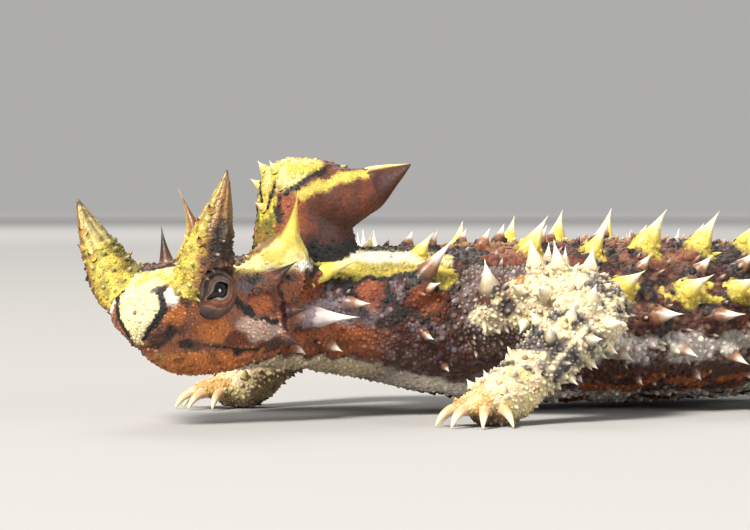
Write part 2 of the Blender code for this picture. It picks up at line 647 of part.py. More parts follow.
def main():
    for obj in list(bpy.data.objects):
        bpy.data.objects.remove(obj)
    back, head = back_form(), head_form()
    limbs = [limb_form(limb, side) for limb, side in LIMBS]
    knob_form, knob = make_knob(back)
    objects = [knob, *make_back(back, knob_form, limbs), *make_head(head, back)]
    for limb, side in LIMBS:
        objects += make_limb(limb, side, back)
    centre_model(objects)
    colour(objects)
    for obj in objects:
        print(obj.name, len(obj.data.polygons))


main()
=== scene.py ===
import random
from math import cos, exp, pi, radians, sin

import bmesh
import bpy
import numpy as np
from mathutils import Euler, Matrix, Vector, kdtree, noise


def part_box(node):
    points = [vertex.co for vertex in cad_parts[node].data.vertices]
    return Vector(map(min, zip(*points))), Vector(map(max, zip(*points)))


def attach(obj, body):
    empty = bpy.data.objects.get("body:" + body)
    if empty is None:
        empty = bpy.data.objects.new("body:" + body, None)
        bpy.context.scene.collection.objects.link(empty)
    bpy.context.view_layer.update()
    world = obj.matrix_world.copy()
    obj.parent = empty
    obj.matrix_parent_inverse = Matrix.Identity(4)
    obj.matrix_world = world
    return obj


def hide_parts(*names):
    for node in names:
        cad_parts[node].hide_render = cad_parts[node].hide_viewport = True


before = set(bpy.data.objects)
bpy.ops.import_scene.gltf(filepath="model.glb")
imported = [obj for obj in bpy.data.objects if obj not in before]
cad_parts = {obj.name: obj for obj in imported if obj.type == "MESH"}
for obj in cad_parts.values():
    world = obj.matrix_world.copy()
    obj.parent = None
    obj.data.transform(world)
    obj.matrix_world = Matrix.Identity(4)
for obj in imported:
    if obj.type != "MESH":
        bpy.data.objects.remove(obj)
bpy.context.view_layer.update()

# A thorny devil at life size. Its body lies along X, head towards -X, left side facing -Y.
# Shapes are worked out in millimetres on the model's own axes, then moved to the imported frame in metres.
mm = 0.001
samples = 24  # points read from each stretch between two stations
gap = 0.3  # between one node and the next

headPose = {"eyeLine": (-54.5, -4.3, 12.7), "turn": 30, "nod": -1, "tilt": -9, "back": 10.4}
eyeSize = {"radius": 1.75, "out": 5.0, "up": -0.1, "facing": 70, "lift": 0.06}
cuts = (-29.0, 33.5, 56.0, 76.0)  # x of the neck's end and of the starts of the tail's three lengths


def unit(v):
    return v / np.maximum(np.linalg.norm(v, axis=-1, keepdims=True), 1e-9)


def moved(place, points):
    return points @ place[:3, :3].T + place[:3, 3]


def smoothRows(rows, count):
    ends = np.vstack([2 * rows[0] - rows[1], rows, 2 * rows[-1] - rows[-2]])
    made = []
    for i in range(len(rows) - 1):
        a, b, c, d = ends[i : i + 4]
        for t in np.arange(count) / count:
            bend = (2 * a - 5 * b + 4 * c - d) * t**2 + (3 * b - a - 3 * c + d) * t**3
            made.append(0.5 * (2 * b + (c - a) * t + bend))
    return np.array([*made, rows[-1]])


def fade(value, low, high):  # 0 below low, 1 above high
    t = np.clip((value - low) / (high - low), 0, 1)
    return t * t * (3 - 2 * t)


class Form:  # flesh round a smooth axis; a station is x, y, z, half width, rise and drop
    def __init__(self, stations, up=(0, 0, 1), square=1.0, swellings=(), place=None):
        self.rows = smoothRows(np.array(stations, float), samples)
        steps = np.linalg.norm(np.diff(self.rows[:, :3], axis=0), axis=1)
        self.along = np.concatenate([[0], np.cumsum(steps)])
        self.ahead = np.gradient(self.rows[:, :3], axis=0)
        self.up = np.array(up, float)
        self.square = square
        self.swellings = swellings
        self.place = np.eye(4) if place is None else place
        self.length = self.along[-1]
        self.girth = 2 * pi * float(np.max(self.rows[:, 3:].mean(axis=1)))

    def station(self, i):
        return float(self.along[i * samples])

    def fromX(self, x):
        return float(np.interp(x, self.rows[:, 0], self.along))

    def axes(self, s):
        row = np.stack([np.interp(s, self.along, column) for column in self.rows.T], -1)
        ahead = unit(np.stack([np.interp(s, self.along, column) for column in self.ahead.T], -1))
        left = unit(np.cross(ahead, self.up))
        return row[..., :3], ahead, left, np.cross(left, ahead), row[..., 3:]

    def local(self, s, angle, grow=0.0):
        s, angle = np.broadcast_arrays(np.asarray(s, float), np.asarray(angle, float))
        centre, _, left, top, size = self.axes(s)
        a = np.radians(angle)
        across = np.sign(np.sin(a)) * abs(np.sin(a)) ** self.square
        upward = np.sign(np.cos(a)) * abs(np.cos(a)) ** self.square
        height = np.where(upward > 0, size[..., 1], size[..., 2])
        point = centre + left * (across * (size[..., 0] + grow))[..., None]
        point = point + top * (upward * (height + grow))[..., None]
        push = sum(
            rise * np.exp(-((np.linalg.norm(point - np.array(c), axis=-1) / reach) ** 2))
            for c, reach, rise in self.swellings
        )
        return point + unit(point - centre) * np.asarray(push)[..., None]

    def at(self, s, angle, grow=0.0):
        return moved(self.place, self.local(s, angle, grow))

    def outward(self, s, angle):
        lengthways = self.at(s + 0.2, angle) - self.at(s - 0.2, angle)
        return unit(np.cross(self.at(s, angle + 2) - self.at(s, angle - 2), lengthways))

    def backward(self, s):
        return unit(self.place[:3, :3] @ self.axes(s)[1])

    def holds(self, point, grow, span=(0, 1e6)):
        local = moved(np.linalg.inv(self.place), point)
        spanned = np.flatnonzero((self.along >= span[0]) & (self.along <= span[1]))
        near = spanned[int(np.argmin(np.linalg.norm(self.rows[spanned, :3] - local, axis=1)))]
        centre, ahead, left, top, (width, rise, drop) = self.axes(self.along[near])
        gone = local - centre
        height = rise if gone @ top > 0 else drop
        if abs(gone @ ahead) > grow + 0.2:
            return False
        return ((gone @ left) / (width + grow)) ** 2 + ((gone @ top) / (height + grow)) ** 2 < 1

    def nearest(self, points):  # s, angle and distance from the surface of each point
        local = moved(np.linalg.inv(self.place), points)
        rows = self.rows[::3, :3]
        apart = (local**2).sum(1)[:, None] + (rows**2).sum(1)[None] - 2 * local @ rows.T
        s = self.along[::3][np.argmin(apart, axis=1)]
        centre, ahead, left, top, size = self.axes(s)
        gone = local - centre
        overshoot = (gone * ahead).sum(1)
        s = np.clip(s + overshoot, 0, self.length)
        centre, ahead, left, top, size = self.axes(s)
        gone = local - centre
        sideways, upward = (gone * left).sum(1), (gone * top).sum(1)
        height = np.where(upward > 0, size[:, 1], size[:, 2])
        angle = np.degrees(np.arctan2(sideways / size[:, 0], upward / height))
        reach = np.hypot(sideways / size[:, 0], upward / height)
        off = (reach - 1) * np.sqrt(size[:, 0] * height)
        return s, angle, np.hypot(np.maximum(off, 0), (gone * ahead).sum(1)) + np.minimum(off, 0)

    def rings(self, start, end, count, sides, grow=0.0):
        where = np.linspace(start, end, count)
        return self.at(where[:, None], 360 * (np.arange(sides) + 0.5)[None] / sides, grow)


def tube(rings):  # a closed bmesh over rows of points
    count, sides = rings.shape[:2]
    mesh = bmesh.new()
    bmesh.ops.create_grid(mesh, x_segments=sides, y_segments=count - 1, size=0.5)
    for v in mesh.verts:
        around, along = round((v.co.x + 0.5) * sides), round((v.co.y + 0.5) * (count - 1))
        v.co = rings[along, around % sides]
    bmesh.ops.remove_doubles(mesh, verts=mesh.verts, dist=1e-4)
    bmesh.ops.holes_fill(mesh, edges=mesh.edges, sides=0)
    mesh.normal_update()
    bmesh.ops.recalc_face_normals(mesh, faces=mesh.faces)
    return mesh


def linked(name, data):  # an object from a mesh
    made = bpy.data.objects.new(name, data)
    bpy.context.scene.collection.objects.link(made)
    data.shade_smooth()
    return made


def finished(name, mesh):  # an object from a bmesh
    data = bpy.data.meshes.new(name)
    mesh.to_mesh(data)
    mesh.free()
    return linked(name, data)


def joined(meshes):
    whole = bmesh.new()
    for mesh in meshes:
        data = bpy.data.meshes.new("part")
        mesh.to_mesh(data)
        mesh.free()
        whole.from_mesh(data)
        bpy.data.meshes.remove(data)
    return whole


def treeOf(points):
    tree = kdtree.KDTree(len(points))
    for i, point in enumerate(points):
        tree.insert(point, i)
    tree.balance()
    return tree


def reachOf(points, centre, radii=1.0):  # distance from a place, in shares of the radii
    return np.linalg.norm((points - np.array(centre)) / np.array(radii), axis=1)


# The forms of the body, on the same sizes as the solids.

headTurn = Euler([radians(headPose[k]) for k in ("tilt", "nod", "turn")], "XYZ").to_matrix().to_4x4()
headPlace = np.array(Matrix.Translation(headPose["eyeLine"]) @ headTurn)


def inHead(points):  # from ahead of the eyes, to the left and above them
    return moved(headPlace, np.array(points, float) * (-1, -1, 1))


def headLocal(points):
    return moved(np.linalg.inv(headPlace), points) * (-1, -1, 1)


def headForm():
    stations = [
        (-7.1, 0, -1.2, 0.6, 0.5, 0.6),
        (-6.85, 0, -1.3, 1.7, 1.2, 1.6),
        (-6.2, 0, -1.45, 2.8, 1.8, 2.6),
        (-5.0, 0, -1.7, 3.8, 2.7, 3.8),
        (-3.3, 0, -2.05, 4.8, 4.45, 4.6),
        (-1.4, 0, -2.2, 5.6, 5.2, 4.9),
        (0.8, 0, -2.2, 6.1, 5.4, 5.1),
        (3.6, 0, -2.2, 6.7, 5.4, 5.5),
        (6.2, 0, -2.3, 7.4, 5.3, 5.5),
        (8.6, 0, -2.4, 7.9, 5.1, 5.3),
        (10.0, 0, -2.5, 7.3, 5.0, 5.1),
        (11.8, 0, -2.5, 6.7, 5.0, 5.0),
    ]
    bumps = [
        (-0.4, 5.2, 1.9, 2.6, 1.0),
        (-4.9, 2.0, 0.8, 1.2, 0.45),
        (5.0, 7.0, -4.6, 2.6, 0.5),
        (-4.4, 4.6, 0.8, 2.1, 1.4),
        (-3.8, 3.4, -4.7, 3.0, -1.9),
        (-0.4, 5.4, -5.6, 3.0, -1.3),
        (0.5, 2.8, 3.0, 2.3, 0.9),
    ]  # brow, nostril, cheek, snout ridge, chin, jowl and crown: place, reach and rise
    swellings = [((x, side * y, z), reach, rise) for x, y, z, reach, rise in bumps for side in (1, -1)]
    return Form(stations, square=0.86, swellings=swellings, place=headPlace)


def backForm():
    neck = [(*inHead((-6.4, 0, -2.5)), 6.2, 4.9, 5.0), (*inHead((-headPose["back"], 0, -2.5)), 6.4, 5.2, 5.2)]
    trunk = [
        (-41, 2.3, 11.2, 6.6, 5.8, 6.1),
        (-35, 2.5, 11.7, 7.2, 6.0, 6.8),
        (-28, 2.1, 11.3, 8.6, 6.4, 7.4),
        (-20, 1.7, 10.6, 10.6, 7.1, 8.4),
        (-11, 1.5, 10.2, 13.3, 7.7, 9.0),
        (0, 1.5, 10.0, 16.0, 8.1, 9.1),
        (11, 1.5, 10.0, 16.6, 8.1, 9.1),
        (20, 1.3, 10.1, 14.0, 7.6, 8.8),
        (27, 0.9, 10.1, 10.4, 6.8, 7.8),
        (33.5, 0.5, 9.6, 7.6, 5.8, 6.3),
    ]
    tail = [
        (42, 0.3, 9.0, 6.1, 5.2, 5.2),
        (54, 1.4, 8.4, 5.4, 4.8, 4.6),
        (67, 3.4, 8.9, 4.6, 4.2, 4.0),
        (79, 5.0, 10.8, 3.9, 3.6, 3.5),
        (89, 5.4, 13.6, 3.2, 3.0, 2.9),
        (94.5, 4.9, 15.7, 2.5, 2.4, 2.3),
        (96.6, 4.6, 16.6, 1.4, 1.3, 1.3),
        (97.2, 4.5, 16.9, 0.5, 0.5, 0.5),
    ]
    return Form(neck + trunk + tail, square=0.92)


limbJoints = {
    ("fore", "left"): [(-20, -7.0, 11), (-16.2, -13.0, 12.0), (-12.4, -17.8, 11.4), (-18.0, -19.8, 7.8),
                       (-23.8, -20.3, 4.0), (-27.2, -20.6, 2.4)],
    ("fore", "right"): [(-20, -7.0, 11), (-19.4, -14.4, 11.8), (-19.4, -20.6, 10.9), (-25.6, -20.8, 7.6),
                        (-31.8, -19.8, 4.0), (-35.2, -19.4, 2.4)],
    ("hind", "left"): [(25, -6.0, 10), (18.8, -14.4, 11.6), (13.6, -20.6, 11.2), (18.0, -23.4, 7.6),
                       (22.6, -25.6, 4.2), (21.0, -28.6, 2.3)],
    ("hind", "right"): [(25, -6.0, 10), (19.8, -15.2, 11.4), (16.0, -21.4, 11.0), (21.2, -23.8, 7.6),
                        (26.4, -25.4, 4.2), (25.6, -28.9, 2.3)],
}  # on each limb's own side of the body, from the root to the ball of the foot
limbSize = {
    "fore": {"girths": (4.6, 3.6, 3.4, 3.1, 2.5, 2.4), "digits": (-38, -8, 22, 54, 92),
             "lengths": (3.0, 3.8, 4.2, 3.9, 2.9), "nodes": ("upper_arm", "forearm", "hand"),
             "spine": 3.2, "seed": 1},
    "hind": {"girths": (5.4, 4.2, 3.7, 3.0, 2.4, 2.4), "digits": (14, 38, 62, 86, 118),
             "lengths": (3.0, 4.0, 4.5, 4.1, 3.0), "nodes": ("thigh", "shin", "foot"),
             "spine": 3.4, "seed": 2},
}


def limbPoints(limb, side):
    return [(x, -y if side == "right" else y, z) for x, y, z in limbJoints[limb, side]]


def limbForm(limb, side):
    out = 1 if side == "right" else -1
    rows = [(*p, g, g, g) for p, g in zip(limbPoints(limb, side), limbSize[limb]["girths"])]
    return Form(rows, up=(0, 0.6 * out, 0.8))


def footForm(limb, side):
    wrist, sole = (np.array(p) for p in limbPoints(limb, side)[-2:])
    way = sole - wrist
    toes = np.array((sole[0], sole[1], 1.7)) + way * (1, 1, 0) * 0.42
    sizes = ((2.2, 2.1, 2.1), (2.5, 2.3, 3.3), (3.0, 1.7, 2.8), (1.5, 0.8, 1.9))
    return Form([(*p, *size) for p, size in zip((wrist - way * 0.9, wrist, sole, toes), sizes)])


def digitForms(limb, side):  # toe and claw of each digit
    centre = np.array(limbPoints(limb, side)[-1])
    out = 1 if side == "left" else -1
    arch = [(0.0, 2.1, 1.05), (0.45, 2.5, 1.0), (0.85, 2.0, 0.92), (1.0, 1.6, 0.7)]
    curve = [(-0.7, 1.8, 0.62), (0.35, 1.75, 0.55), (1.3, 1.2, 0.4), (1.95, 0.35, 0.16), (2.08, 0.06, 0.05)]
    made = []
    for turn, length in zip(limbSize[limb]["digits"], limbSize[limb]["lengths"]):
        heading = radians(turn * out)
        way = np.array((-cos(heading), -sin(heading), 0))
        root = centre - way * 0.3
        toe = Form([(*(root + way * length * t)[:2], z, r, r, r) for t, z, r in arch])
        claw = Form([(*(root + way * (length + t))[:2], z, r, r, r) for t, z, r in curve])
        made.append((toe, claw))
    return made


def hornForm(side):
    out = 1 if side == "left" else -1
    path = [(0.5, 4.8, 0.6, 2.7, 3.4), (0.8, 5.5, 2.8, 2.5, 3.2), (0.8, 6.5, 5.2, 1.85, 2.55),
            (0.6, 7.6, 7.7, 1.15, 1.6), (0.4, 8.5, 9.8, 0.6, 0.8), (0.3, 9.1, 11.6, 0.1, 0.1)]
    return Form([(-a, -out * b, c, w, d, d) for a, b, c, w, d in path], up=(-1, 0, 0), place=headPlace)


def knobForm():
    stations = [
        (-36.4, 1.8, 11.5, 4.7, 5.0, 6.0),
        (-36.4, 1.8, 16.0, 4.6, 4.7, 6.4),
        (-36.3, 1.7, 20.0, 4.4, 4.4, 5.6),
        (-36.1, 1.6, 23.4, 4.2, 4.3, 4.8),
        (-36.0, 1.6, 25.3, 3.8, 4.0, 4.2),
        (-36.0, 1.6, 26.4, 3.0, 3.3, 3.4),
        (-36.0, 1.6, 26.9, 1.5, 1.7, 1.7),
    ]
    return Form(stations, up=(-1, 0, 0), square=0.85)


def knobSpineForm(out):
    path = [
        (-37.0, 1.6 - out * 1.6, 23.4, 2.6, 2.6, 3.6),
        (-34.0, 1.6 - out * 3.0, 23.8, 2.4, 2.3, 4.8),
        (-31.2, 1.5 - out * 4.4, 24.4, 1.7, 1.6, 3.4),
        (-28.6, 1.5 - out * 5.7, 25.4, 0.9, 0.9, 1.3),
        (-27.0, 1.5 - out * 6.7, 26.3, 0.1, 0.1, 0.1),
    ]
    return Form(path)


back, head, knob = backForm(), headForm(), knobForm()
limbs = {key: limbForm(*key) for key in limbJoints}
feet = {key: footForm(*key) for key in limbJoints}
digits = {key: digitForms(*key) for key in limbJoints}
horns = {side: hornForm(side) for side in ("left", "right")}
knobSpines = {side: knobSpineForm(out) for side, out in (("left", 1), ("right", -1))}

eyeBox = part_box("eye_left")
shift = (eyeBox[0] + eyeBox[1]) / 2 - Vector(inHead((0, eyeSize["out"], eyeSize["up"]))) * mm
toFrame = Matrix.Translation(shift) @ Matrix.Scale(mm, 4)

# Places on the skin: which form a point lies on, and where on it.

forms = {"back": back, "head": head, "knob": knob}
forms.update({f"knobSpine_{side}": form for side, form in knobSpines.items()})
forms.update({f"horn_{side}": form for side, form in horns.items()})
forms.update({f"limb_{limb}_{side}": form for (limb, side), form in limbs.items()})
forms.update({f"palm_{limb}_{side}": form for (limb, side), form in feet.items()})
for key, pairs in digits.items():
    forms.update({f"toe_{key[0]}_{key[1]}_{i}": pair[0] for i, pair in enumerate(pairs)})
formNames = list(forms)
chartScale = 0.0056  # of the square that a millimetre of skin takes


def packCharts():  # corner and size of each form's rectangle on the unwrap, in rows of falling height
    sizes = {name: (form.length * chartScale, form.girth * chartScale) for name, form in forms.items()}
    charts, u, v, tallest = {}, 0.004, 0.004, 0.0
    for name in sorted(sizes, key=lambda n: -sizes[n][1]):
        wide, tall = sizes[name]
        if u + wide > 0.996:
            u, v, tallest = 0.004, v + tallest + 0.004, 0.0
        charts[name] = (u, v, wide, tall)
        u += wide + 0.004
        tallest = max(tallest, tall)
    print("charts reach", round(v + tallest, 3))
    return charts


charts = packCharts()


class Places:  # for each point: its form, how far along it, the angle round it, and its spot on the unwrap
    def __init__(self, points, only=None):
        self.points = points
        self.form = np.zeros(len(points), int)
        self.s, self.angle = np.zeros(len(points)), np.zeros(len(points))
        least = np.full(len(points), 1e9)
        for name in only or formNames:
            s, angle, off = forms[name].nearest(points)
            better = abs(off) < least
            least[better] = abs(off)[better]
            self.form[better] = formNames.index(name)
            self.s[better], self.angle[better] = s[better], angle[better]
        corner = np.array([charts[name] for name in formNames])[self.form]
        lengths = np.array([forms[name].length for name in formNames])[self.form]
        u = corner[:, 0] + corner[:, 2] * self.s / lengths
        v = corner[:, 1] + corner[:, 3] * (self.angle + 180) / 360
        self.unwrap = np.stack([u, v], 1)

    def on(self, start):
        hits = [i for i, name in enumerate(formNames) if name.startswith(start)]
        return np.isin(self.form, hits)


print("forms ready")

# Spines, on the same roots as the solids' ones.

headSpines = [
    (2.6, 36, (0.7, 0.7), 0.5, 0.0, 0.2),
    (4.2, 64, (0.9, 0.9), 0.55, 0.0, 0.2),
    (15.4, 36, (3.4, 6.6), 1.4, 0.1, 0.7),
    (14.2, 64, (4.0, 4.0), 1.4, 0.9, 0.1),
    (16.0, 92, (2.4, 2.4), 1.1, 0.5, 0.0),
    (15.8, 118, (2.2, 2.2), 1.1, 0.4, 0.0),
    (12.4, 74, (1.0, 1.0), 0.6, 0.3, 0.0),
    (14.0, 14, (1.2, 1.2), 0.7, 0.3, 0.0),
]  # distance from the snout, angle, height on the left and right, radius, lean back and lift
neckSpines = [
    (2.6, 46, 9.6, 3.1, 0.0, 1.0),
    (8.0, 60, 5.6, 1.7, 1.5, 0.0),
    (2.6, 92, 2.6, 1.2, 0.8, 0.0),
    (6.4, 96, 5.4, 1.6, 0.9, 0.0),
    (11.6, 88, 2.6, 1.2, 0.8, 0.0),
    (4.2, 124, 1.6, 0.9, 0.6, 0.0),
    (9.6, 122, 2.0, 1.0, 0.6, 0.0),
]  # distance behind the head, angle, height, radius, lean and lift
hornSpikes = [(4.6, 10, 1.0), (6.2, -15, 0.8), (7.6, 5, 1.0), (5.4, 170, 0.7)]  # s, angle and height
knobSpikes = [(12.4, 30), (12.4, -30), (14.2, 12), (14.2, -24), (10.0, 0)]  # s and angle
palmSpikes = [(2.8, 0), (3.2, 52), (3.2, -52)]
shoulderSpine = (-26.4, 66, 5.8, 1.9, 0.9, 1.2)  # x, angle, height, radius, lean and lift
upperShare = 1.35  # how much taller spines stand on the upper limb
trunkRows = [(13, 2.4, 1.1), (34, 4.6, 1.7), (54, 2.6, 1.2), (70, 4.0, 1.6), (88, 4.4, 1.6), (108, 2.4, 1.1),
             (128, 1.2, 0.8)]
tailRows = [(22, 3.0, 1.2), (66, 3.2, 1.25), (108, 2.6, 1.1), (152, 1.3, 0.8)]
finSize = {"from": 9, "bow": 0.9, "sharp": 1.25, "mound": 1.3}  # spines over this height are fins
spines = []  # each a dictionary of node, root, aim, sweep, height, radius and what grow adds
tips = []  # node, root, tip and radius of each spine


def apart(a, b, c, d):
    t = np.linspace(0, 1, 5)
    first, second = a + np.outer(t, b - a), c + np.outer(t, d - c)
    return np.linalg.norm(first[:, None] - second[None], axis=2).min()


def grow(node, form, s, angle, height, radius, lean=0.35, sweep=0.12, others=(), lift=0.0):
    root = form.at(s, angle)
    backwards = form.backward(s)
    aim = unit(form.outward(s, angle) + backwards * lean + np.array((0, 0, lift)))
    tip = root + aim * height + backwards * sweep * height
    for other, clearance, *span in others:
        for t in (0, 0.3, 0.6, 1):
            if other.holds(root + (tip - root) * t, clearance + radius * (1 - t), *span):
                return
    for owner, first, last, size in tips:
        if owner != node and apart(root, tip, first, last) < (size + radius) * 0.6 + gap:
            return
    tips.append((node, root, tip, radius))
    fin = height > finSize["from"]
    bright = node == "torso" and height > 3 and (root[2] > 15.6 or 11.4 < root[2] < 14 and root[0] > -16)
    spines.append({"node": node, "root": root, "aim": aim, "sweep": backwards * sweep * height,
                   "height": height, "radius": radius,
                   "bow": backwards * finSize["bow"] * fin, "bright": bright,
                   "sharp": finSize["sharp"] if fin else 1.0, "mound": finSize["mound"] * fin})


def growRows(node, form, start, end, step, rows, seed, others=(), size=lambda t: 1.0):
    draw = random.Random(seed)
    count = max(1, round((end - start) / step))
    for k, (angle, height, radius) in enumerate(rows):
        for i in range(count):
            t = (i + (0.25 if k % 2 else 0.75)) / count
            for side in (1, -1):
                s = start + (end - start) * t + draw.uniform(-0.08, 0.08) * step
                turn = side * (angle + draw.uniform(-3, 3))
                share = size(t) * draw.uniform(0.85, 1.12)
                grow(node, form, s, turn, height * share, radius * share, others=others)


def growBack():
    stops = [back.station(1), *(back.fromX(x) for x in cuts), back.length]
    keep = [(form, 0.5) for form in limbs.values()]
    for s, angle, height, radius, lean, lift in neckSpines:
        others = keep if height > 5 else [(knob, 0.4), *keep]
        for side in (1, -1):
            grow("neck", back, stops[0] + s, side * angle, height, radius, lean, others=others, lift=lift)
    x, angle, height, radius, lean, lift = shoulderSpine
    for side in (1, -1):
        grow("torso", back, back.fromX(x), side * angle, height, radius, lean, others=keep, lift=lift)
    growRows("torso", back, stops[1] + 1.5, stops[2] - 1.5, 6.4, trunkRows, 11, keep,
             lambda t: 0.75 + 0.3 * sin(pi * t))
    for i, (seed, share) in enumerate(((21, 1.0), (22, 0.85), (23, 0.66))):
        start, end = stops[i + 2] + 1.3, stops[i + 3] - (1.3 if i < 2 else 3.0)
        node = ("tail_root", "tail_middle", "tail_tip")[i]
        growRows(node, back, start, end, 5.6, tailRows, seed, keep, lambda t, share=share: share)


def growHead():
    for side, form in horns.items():
        for s, angle, height in hornSpikes:
            grow(f"horn_{side}", form, s, angle, height, 0.55, lean=0.5)
    for s, angle, heights, radius, lean, lift in headSpines:
        for side, height in zip((1, -1), heights):
            others = [(form, 0.35) for form in horns.values()] + [(back, 0.0)] * (s < 15)
            grow("head", head, s, side * angle, height, radius, lean=lean, lift=lift, others=others)


def growLimb(limb, side):
    form, palm, size = limbs[limb, side], feet[limb, side], limbSize[limb]
    names = [f"{name}_{side}" for name in size["nodes"]]
    bend, wrist = form.station(2) - gap / 2, form.station(4) - gap / 2
    out, big = (1 if side == "left" else -1), size["spine"]
    rows = [(0, big, 1.35), (48, big * 0.75, 1.1), (-48, big * 0.75, 1.1), (100, 1.6, 0.8), (-100, 1.6, 0.8)]
    keep = ([(back, 0.4), (form, 0.3, (bend, wrist))], [(back, 0.4), (form, 0.3, (0, bend)), (palm, 0.3)])
    draw = random.Random(7 * size["seed"] + (3 if side == "left" else 5))
    spans = ((form.station(1) - 1.0, bend - 1.0, 3), (bend + 1.2, wrist - 0.8, 4))
    for part, (start, end, count) in enumerate(spans):
        for k, (angle, height, radius) in enumerate(rows):
            for i in range(count):
                t = (i + (0.3 if k % 2 else 0.7)) / count
                share = draw.uniform(0.8, 1.1) * (1 - 0.25 * t * part)
                tall = height * share * (1 if part else upperShare)
                grow(names[part], form, start + (end - start) * t, angle * out, tall, radius * share,
                     lean=-0.1, sweep=0.0, others=keep[part])
    if limb == "fore":
        grow(names[0], form, 3.8, 50 * out, 4.4, 1.7, lean=0.0, sweep=0.0, others=[(back, 0.2)], lift=1.6)
    others = [(form, 0.3, (0, wrist))]
    for s, angle in palmSpikes:
        grow(names[2], palm, palm.station(1) + s, angle, 1.3, 0.7, lean=-0.3, others=others)


for s, angle in knobSpikes:
    grow("nape_knob", knob, s, angle, 1.2, 0.7, lean=0.4, others=[(back, 0.6)])
growBack()
growHead()
for key in limbJoints:
    growLimb(*key)
print("spines", len(spines))

skinSize = {"voxel": 0.46, "coneTop": 0.42, "leastSpine": 0.75}


def coneProfile(z):  # share of a spine's radius at a share of its height
    return 0.97 * np.clip(1 - z, 0, 1) ** 1.55 + 0.03 * np.clip(1 - z, 0, 1)


def coreWidth(spine, z):
    cone = spine["radius"] * (coneProfile(z) ** spine["sharp"] if z > 0 else 1.0)
    return cone + spine["mound"] * exp(-(((z - 0.2) / 0.2) ** 2))


def spineCore(spine):  # the fleshy lower part of a spine, for the skin
    aim, height = spine["aim"], spine["height"]
    side = unit(np.cross(aim, (0.31, 0.22, 0.93)))
    other = np.cross(aim, side)
    turn = 2 * pi * np.arange(10) / 10
    circle = np.outer(np.cos(turn), side) + np.outer(np.sin(turn), other)
    levels = [-0.3 - 0.4 / height, -0.05, 0.08, 0.2, 0.32, skinSize["coneTop"]]
    levels += [0.5, 0.56, 0.62] * (spine["mound"] > 0)
    rings = [
        spine["root"] + aim * height * z + spine["sweep"] * max(z, 0) ** 2
        + spine["bow"] * 4 * max(z, 0) * (1 - z)
        + circle * coreWidth(spine, z)
        for z in levels
    ]
    return tube(np.array(rings))


def skinShell():
    parts = [(head, 0, head.station(11), 60, 64), (back, 0.2, back.length, 170, 56)]
    parts += [(knob, 0, knob.length, 24, 40)]
    parts += [(form, 0, form.length * 0.8, 16, 20) for form in knobSpines.values()]
    parts += [(form, 0, form.length * 0.45, 12, 24) for form in horns.values()]
    for key in limbJoints:
        parts += [(limbs[key], 0, limbs[key].length, 40, 26), (feet[key], 0, feet[key].length, 16, 26)]
        parts += [(toe, 0, toe.length, 10, 14) for toe, _ in digits[key]]
    meshes = [tube(form.rings(*span)) for form, *span in parts]
    meshes += [spineCore(spine) for spine in spines if spine["radius"] > skinSize["leastSpine"]]
    shell = finished("skin", joined(meshes))
    step = shell.modifiers.new("fuse", "REMESH")
    step.mode = "VOXEL"
    step.voxel_size = skinSize["voxel"]
    graph = bpy.context.evaluated_depsgraph_get()
    fused = bpy.data.meshes.new_from_object(shell.evaluated_get(graph))
    shell.modifiers.clear()
    old, shell.data = shell.data, fused
    bpy.data.meshes.remove(old)
    return shell


def coordinates(data):
    points = np.zeros(len(data.vertices) * 3)
    data.vertices.foreach_get("co", points)
    return points.reshape(-1, 3)


def normals(data):
    found = np.zeros(len(data.vertices) * 3)
    data.vertices.foreach_get("normal", found)
    return found.reshape(-1, 3)


def refineHead(shell):  # the head's faces are cut finer than the body's
    mesh = bmesh.new()
    mesh.from_mesh(shell.data)
    local = headLocal(np.array([v.co for v in mesh.verts]))
    near = (local[:, 0] > -9.5) & (abs(local[:, 1]) < 12)
    inside = [e for e in mesh.edges if near[e.verts[0].index] and near[e.verts[1].index]]
    bmesh.ops.subdivide_edges(mesh, edges=inside, cuts=1, use_grid_fill=True)
    local = headLocal(np.array([v.co for v in mesh.verts]))
    soft = [v for v, a in zip(mesh.verts, local[:, 0]) if a > -9.8]
    for _ in range(2):
        bmesh.ops.smooth_vert(mesh, verts=soft, factor=0.5, use_axis_x=True, use_axis_y=True, use_axis_z=True)
    mesh.to_mesh(shell.data)
    mesh.free()


def nearLine(points, line):  # distance of each point from a line through a few places
    line = np.array(line, float)
    least = np.full(len(points), 1e9)
    for a, b in zip(line, line[1:]):
        t = np.clip((points - a) @ (b - a) / ((b - a) @ (b - a)), 0, 1)
        least = np.minimum(least, np.linalg.norm(points - a - t[:, None] * (b - a), axis=1))
    return least


mouthLine = [(5.9, 0, -4.5), (5.5, 0.6, -4.55), (4.7, 1.5, -4.8), (3.2, 2.4, -5.0), (1.2, 3.1, -5.3),
             (-1.0, 3.8, -5.6), (-3.4, 4.7, -6.0), (-5.6, 5.6, -6.4)]  # on the left, head-local
openings = {
    "nostril": {"at": (5.3, 2.35, 0.9), "reach": 0.34, "deep": 0.5, "bare": 0.35},
    "ear": {"at": (-8.4, 8.2, -2.6), "reach": 0.9, "deep": 1.0, "bare": 0.9},
}


def bothSides(line):
    return [line, [(a, -b, c) for a, b, c in line]]


eyeAxes = {}
for side, out in (("left", 1), ("right", -1)):
    turn = radians(eyeSize["facing"])
    facing = np.array((cos(turn), out * sin(turn), eyeSize["lift"]))
    eyeAxes[side] = (np.array((0, out * eyeSize["out"], eyeSize["up"])), unit(facing))


def fromEye(local, centre, facing):  # how far ahead of an eye's centre, and how far from its axis
    gone = local - centre
    ahead = gone @ facing
    return ahead, np.linalg.norm(gone - ahead[:, None] * facing, axis=1)


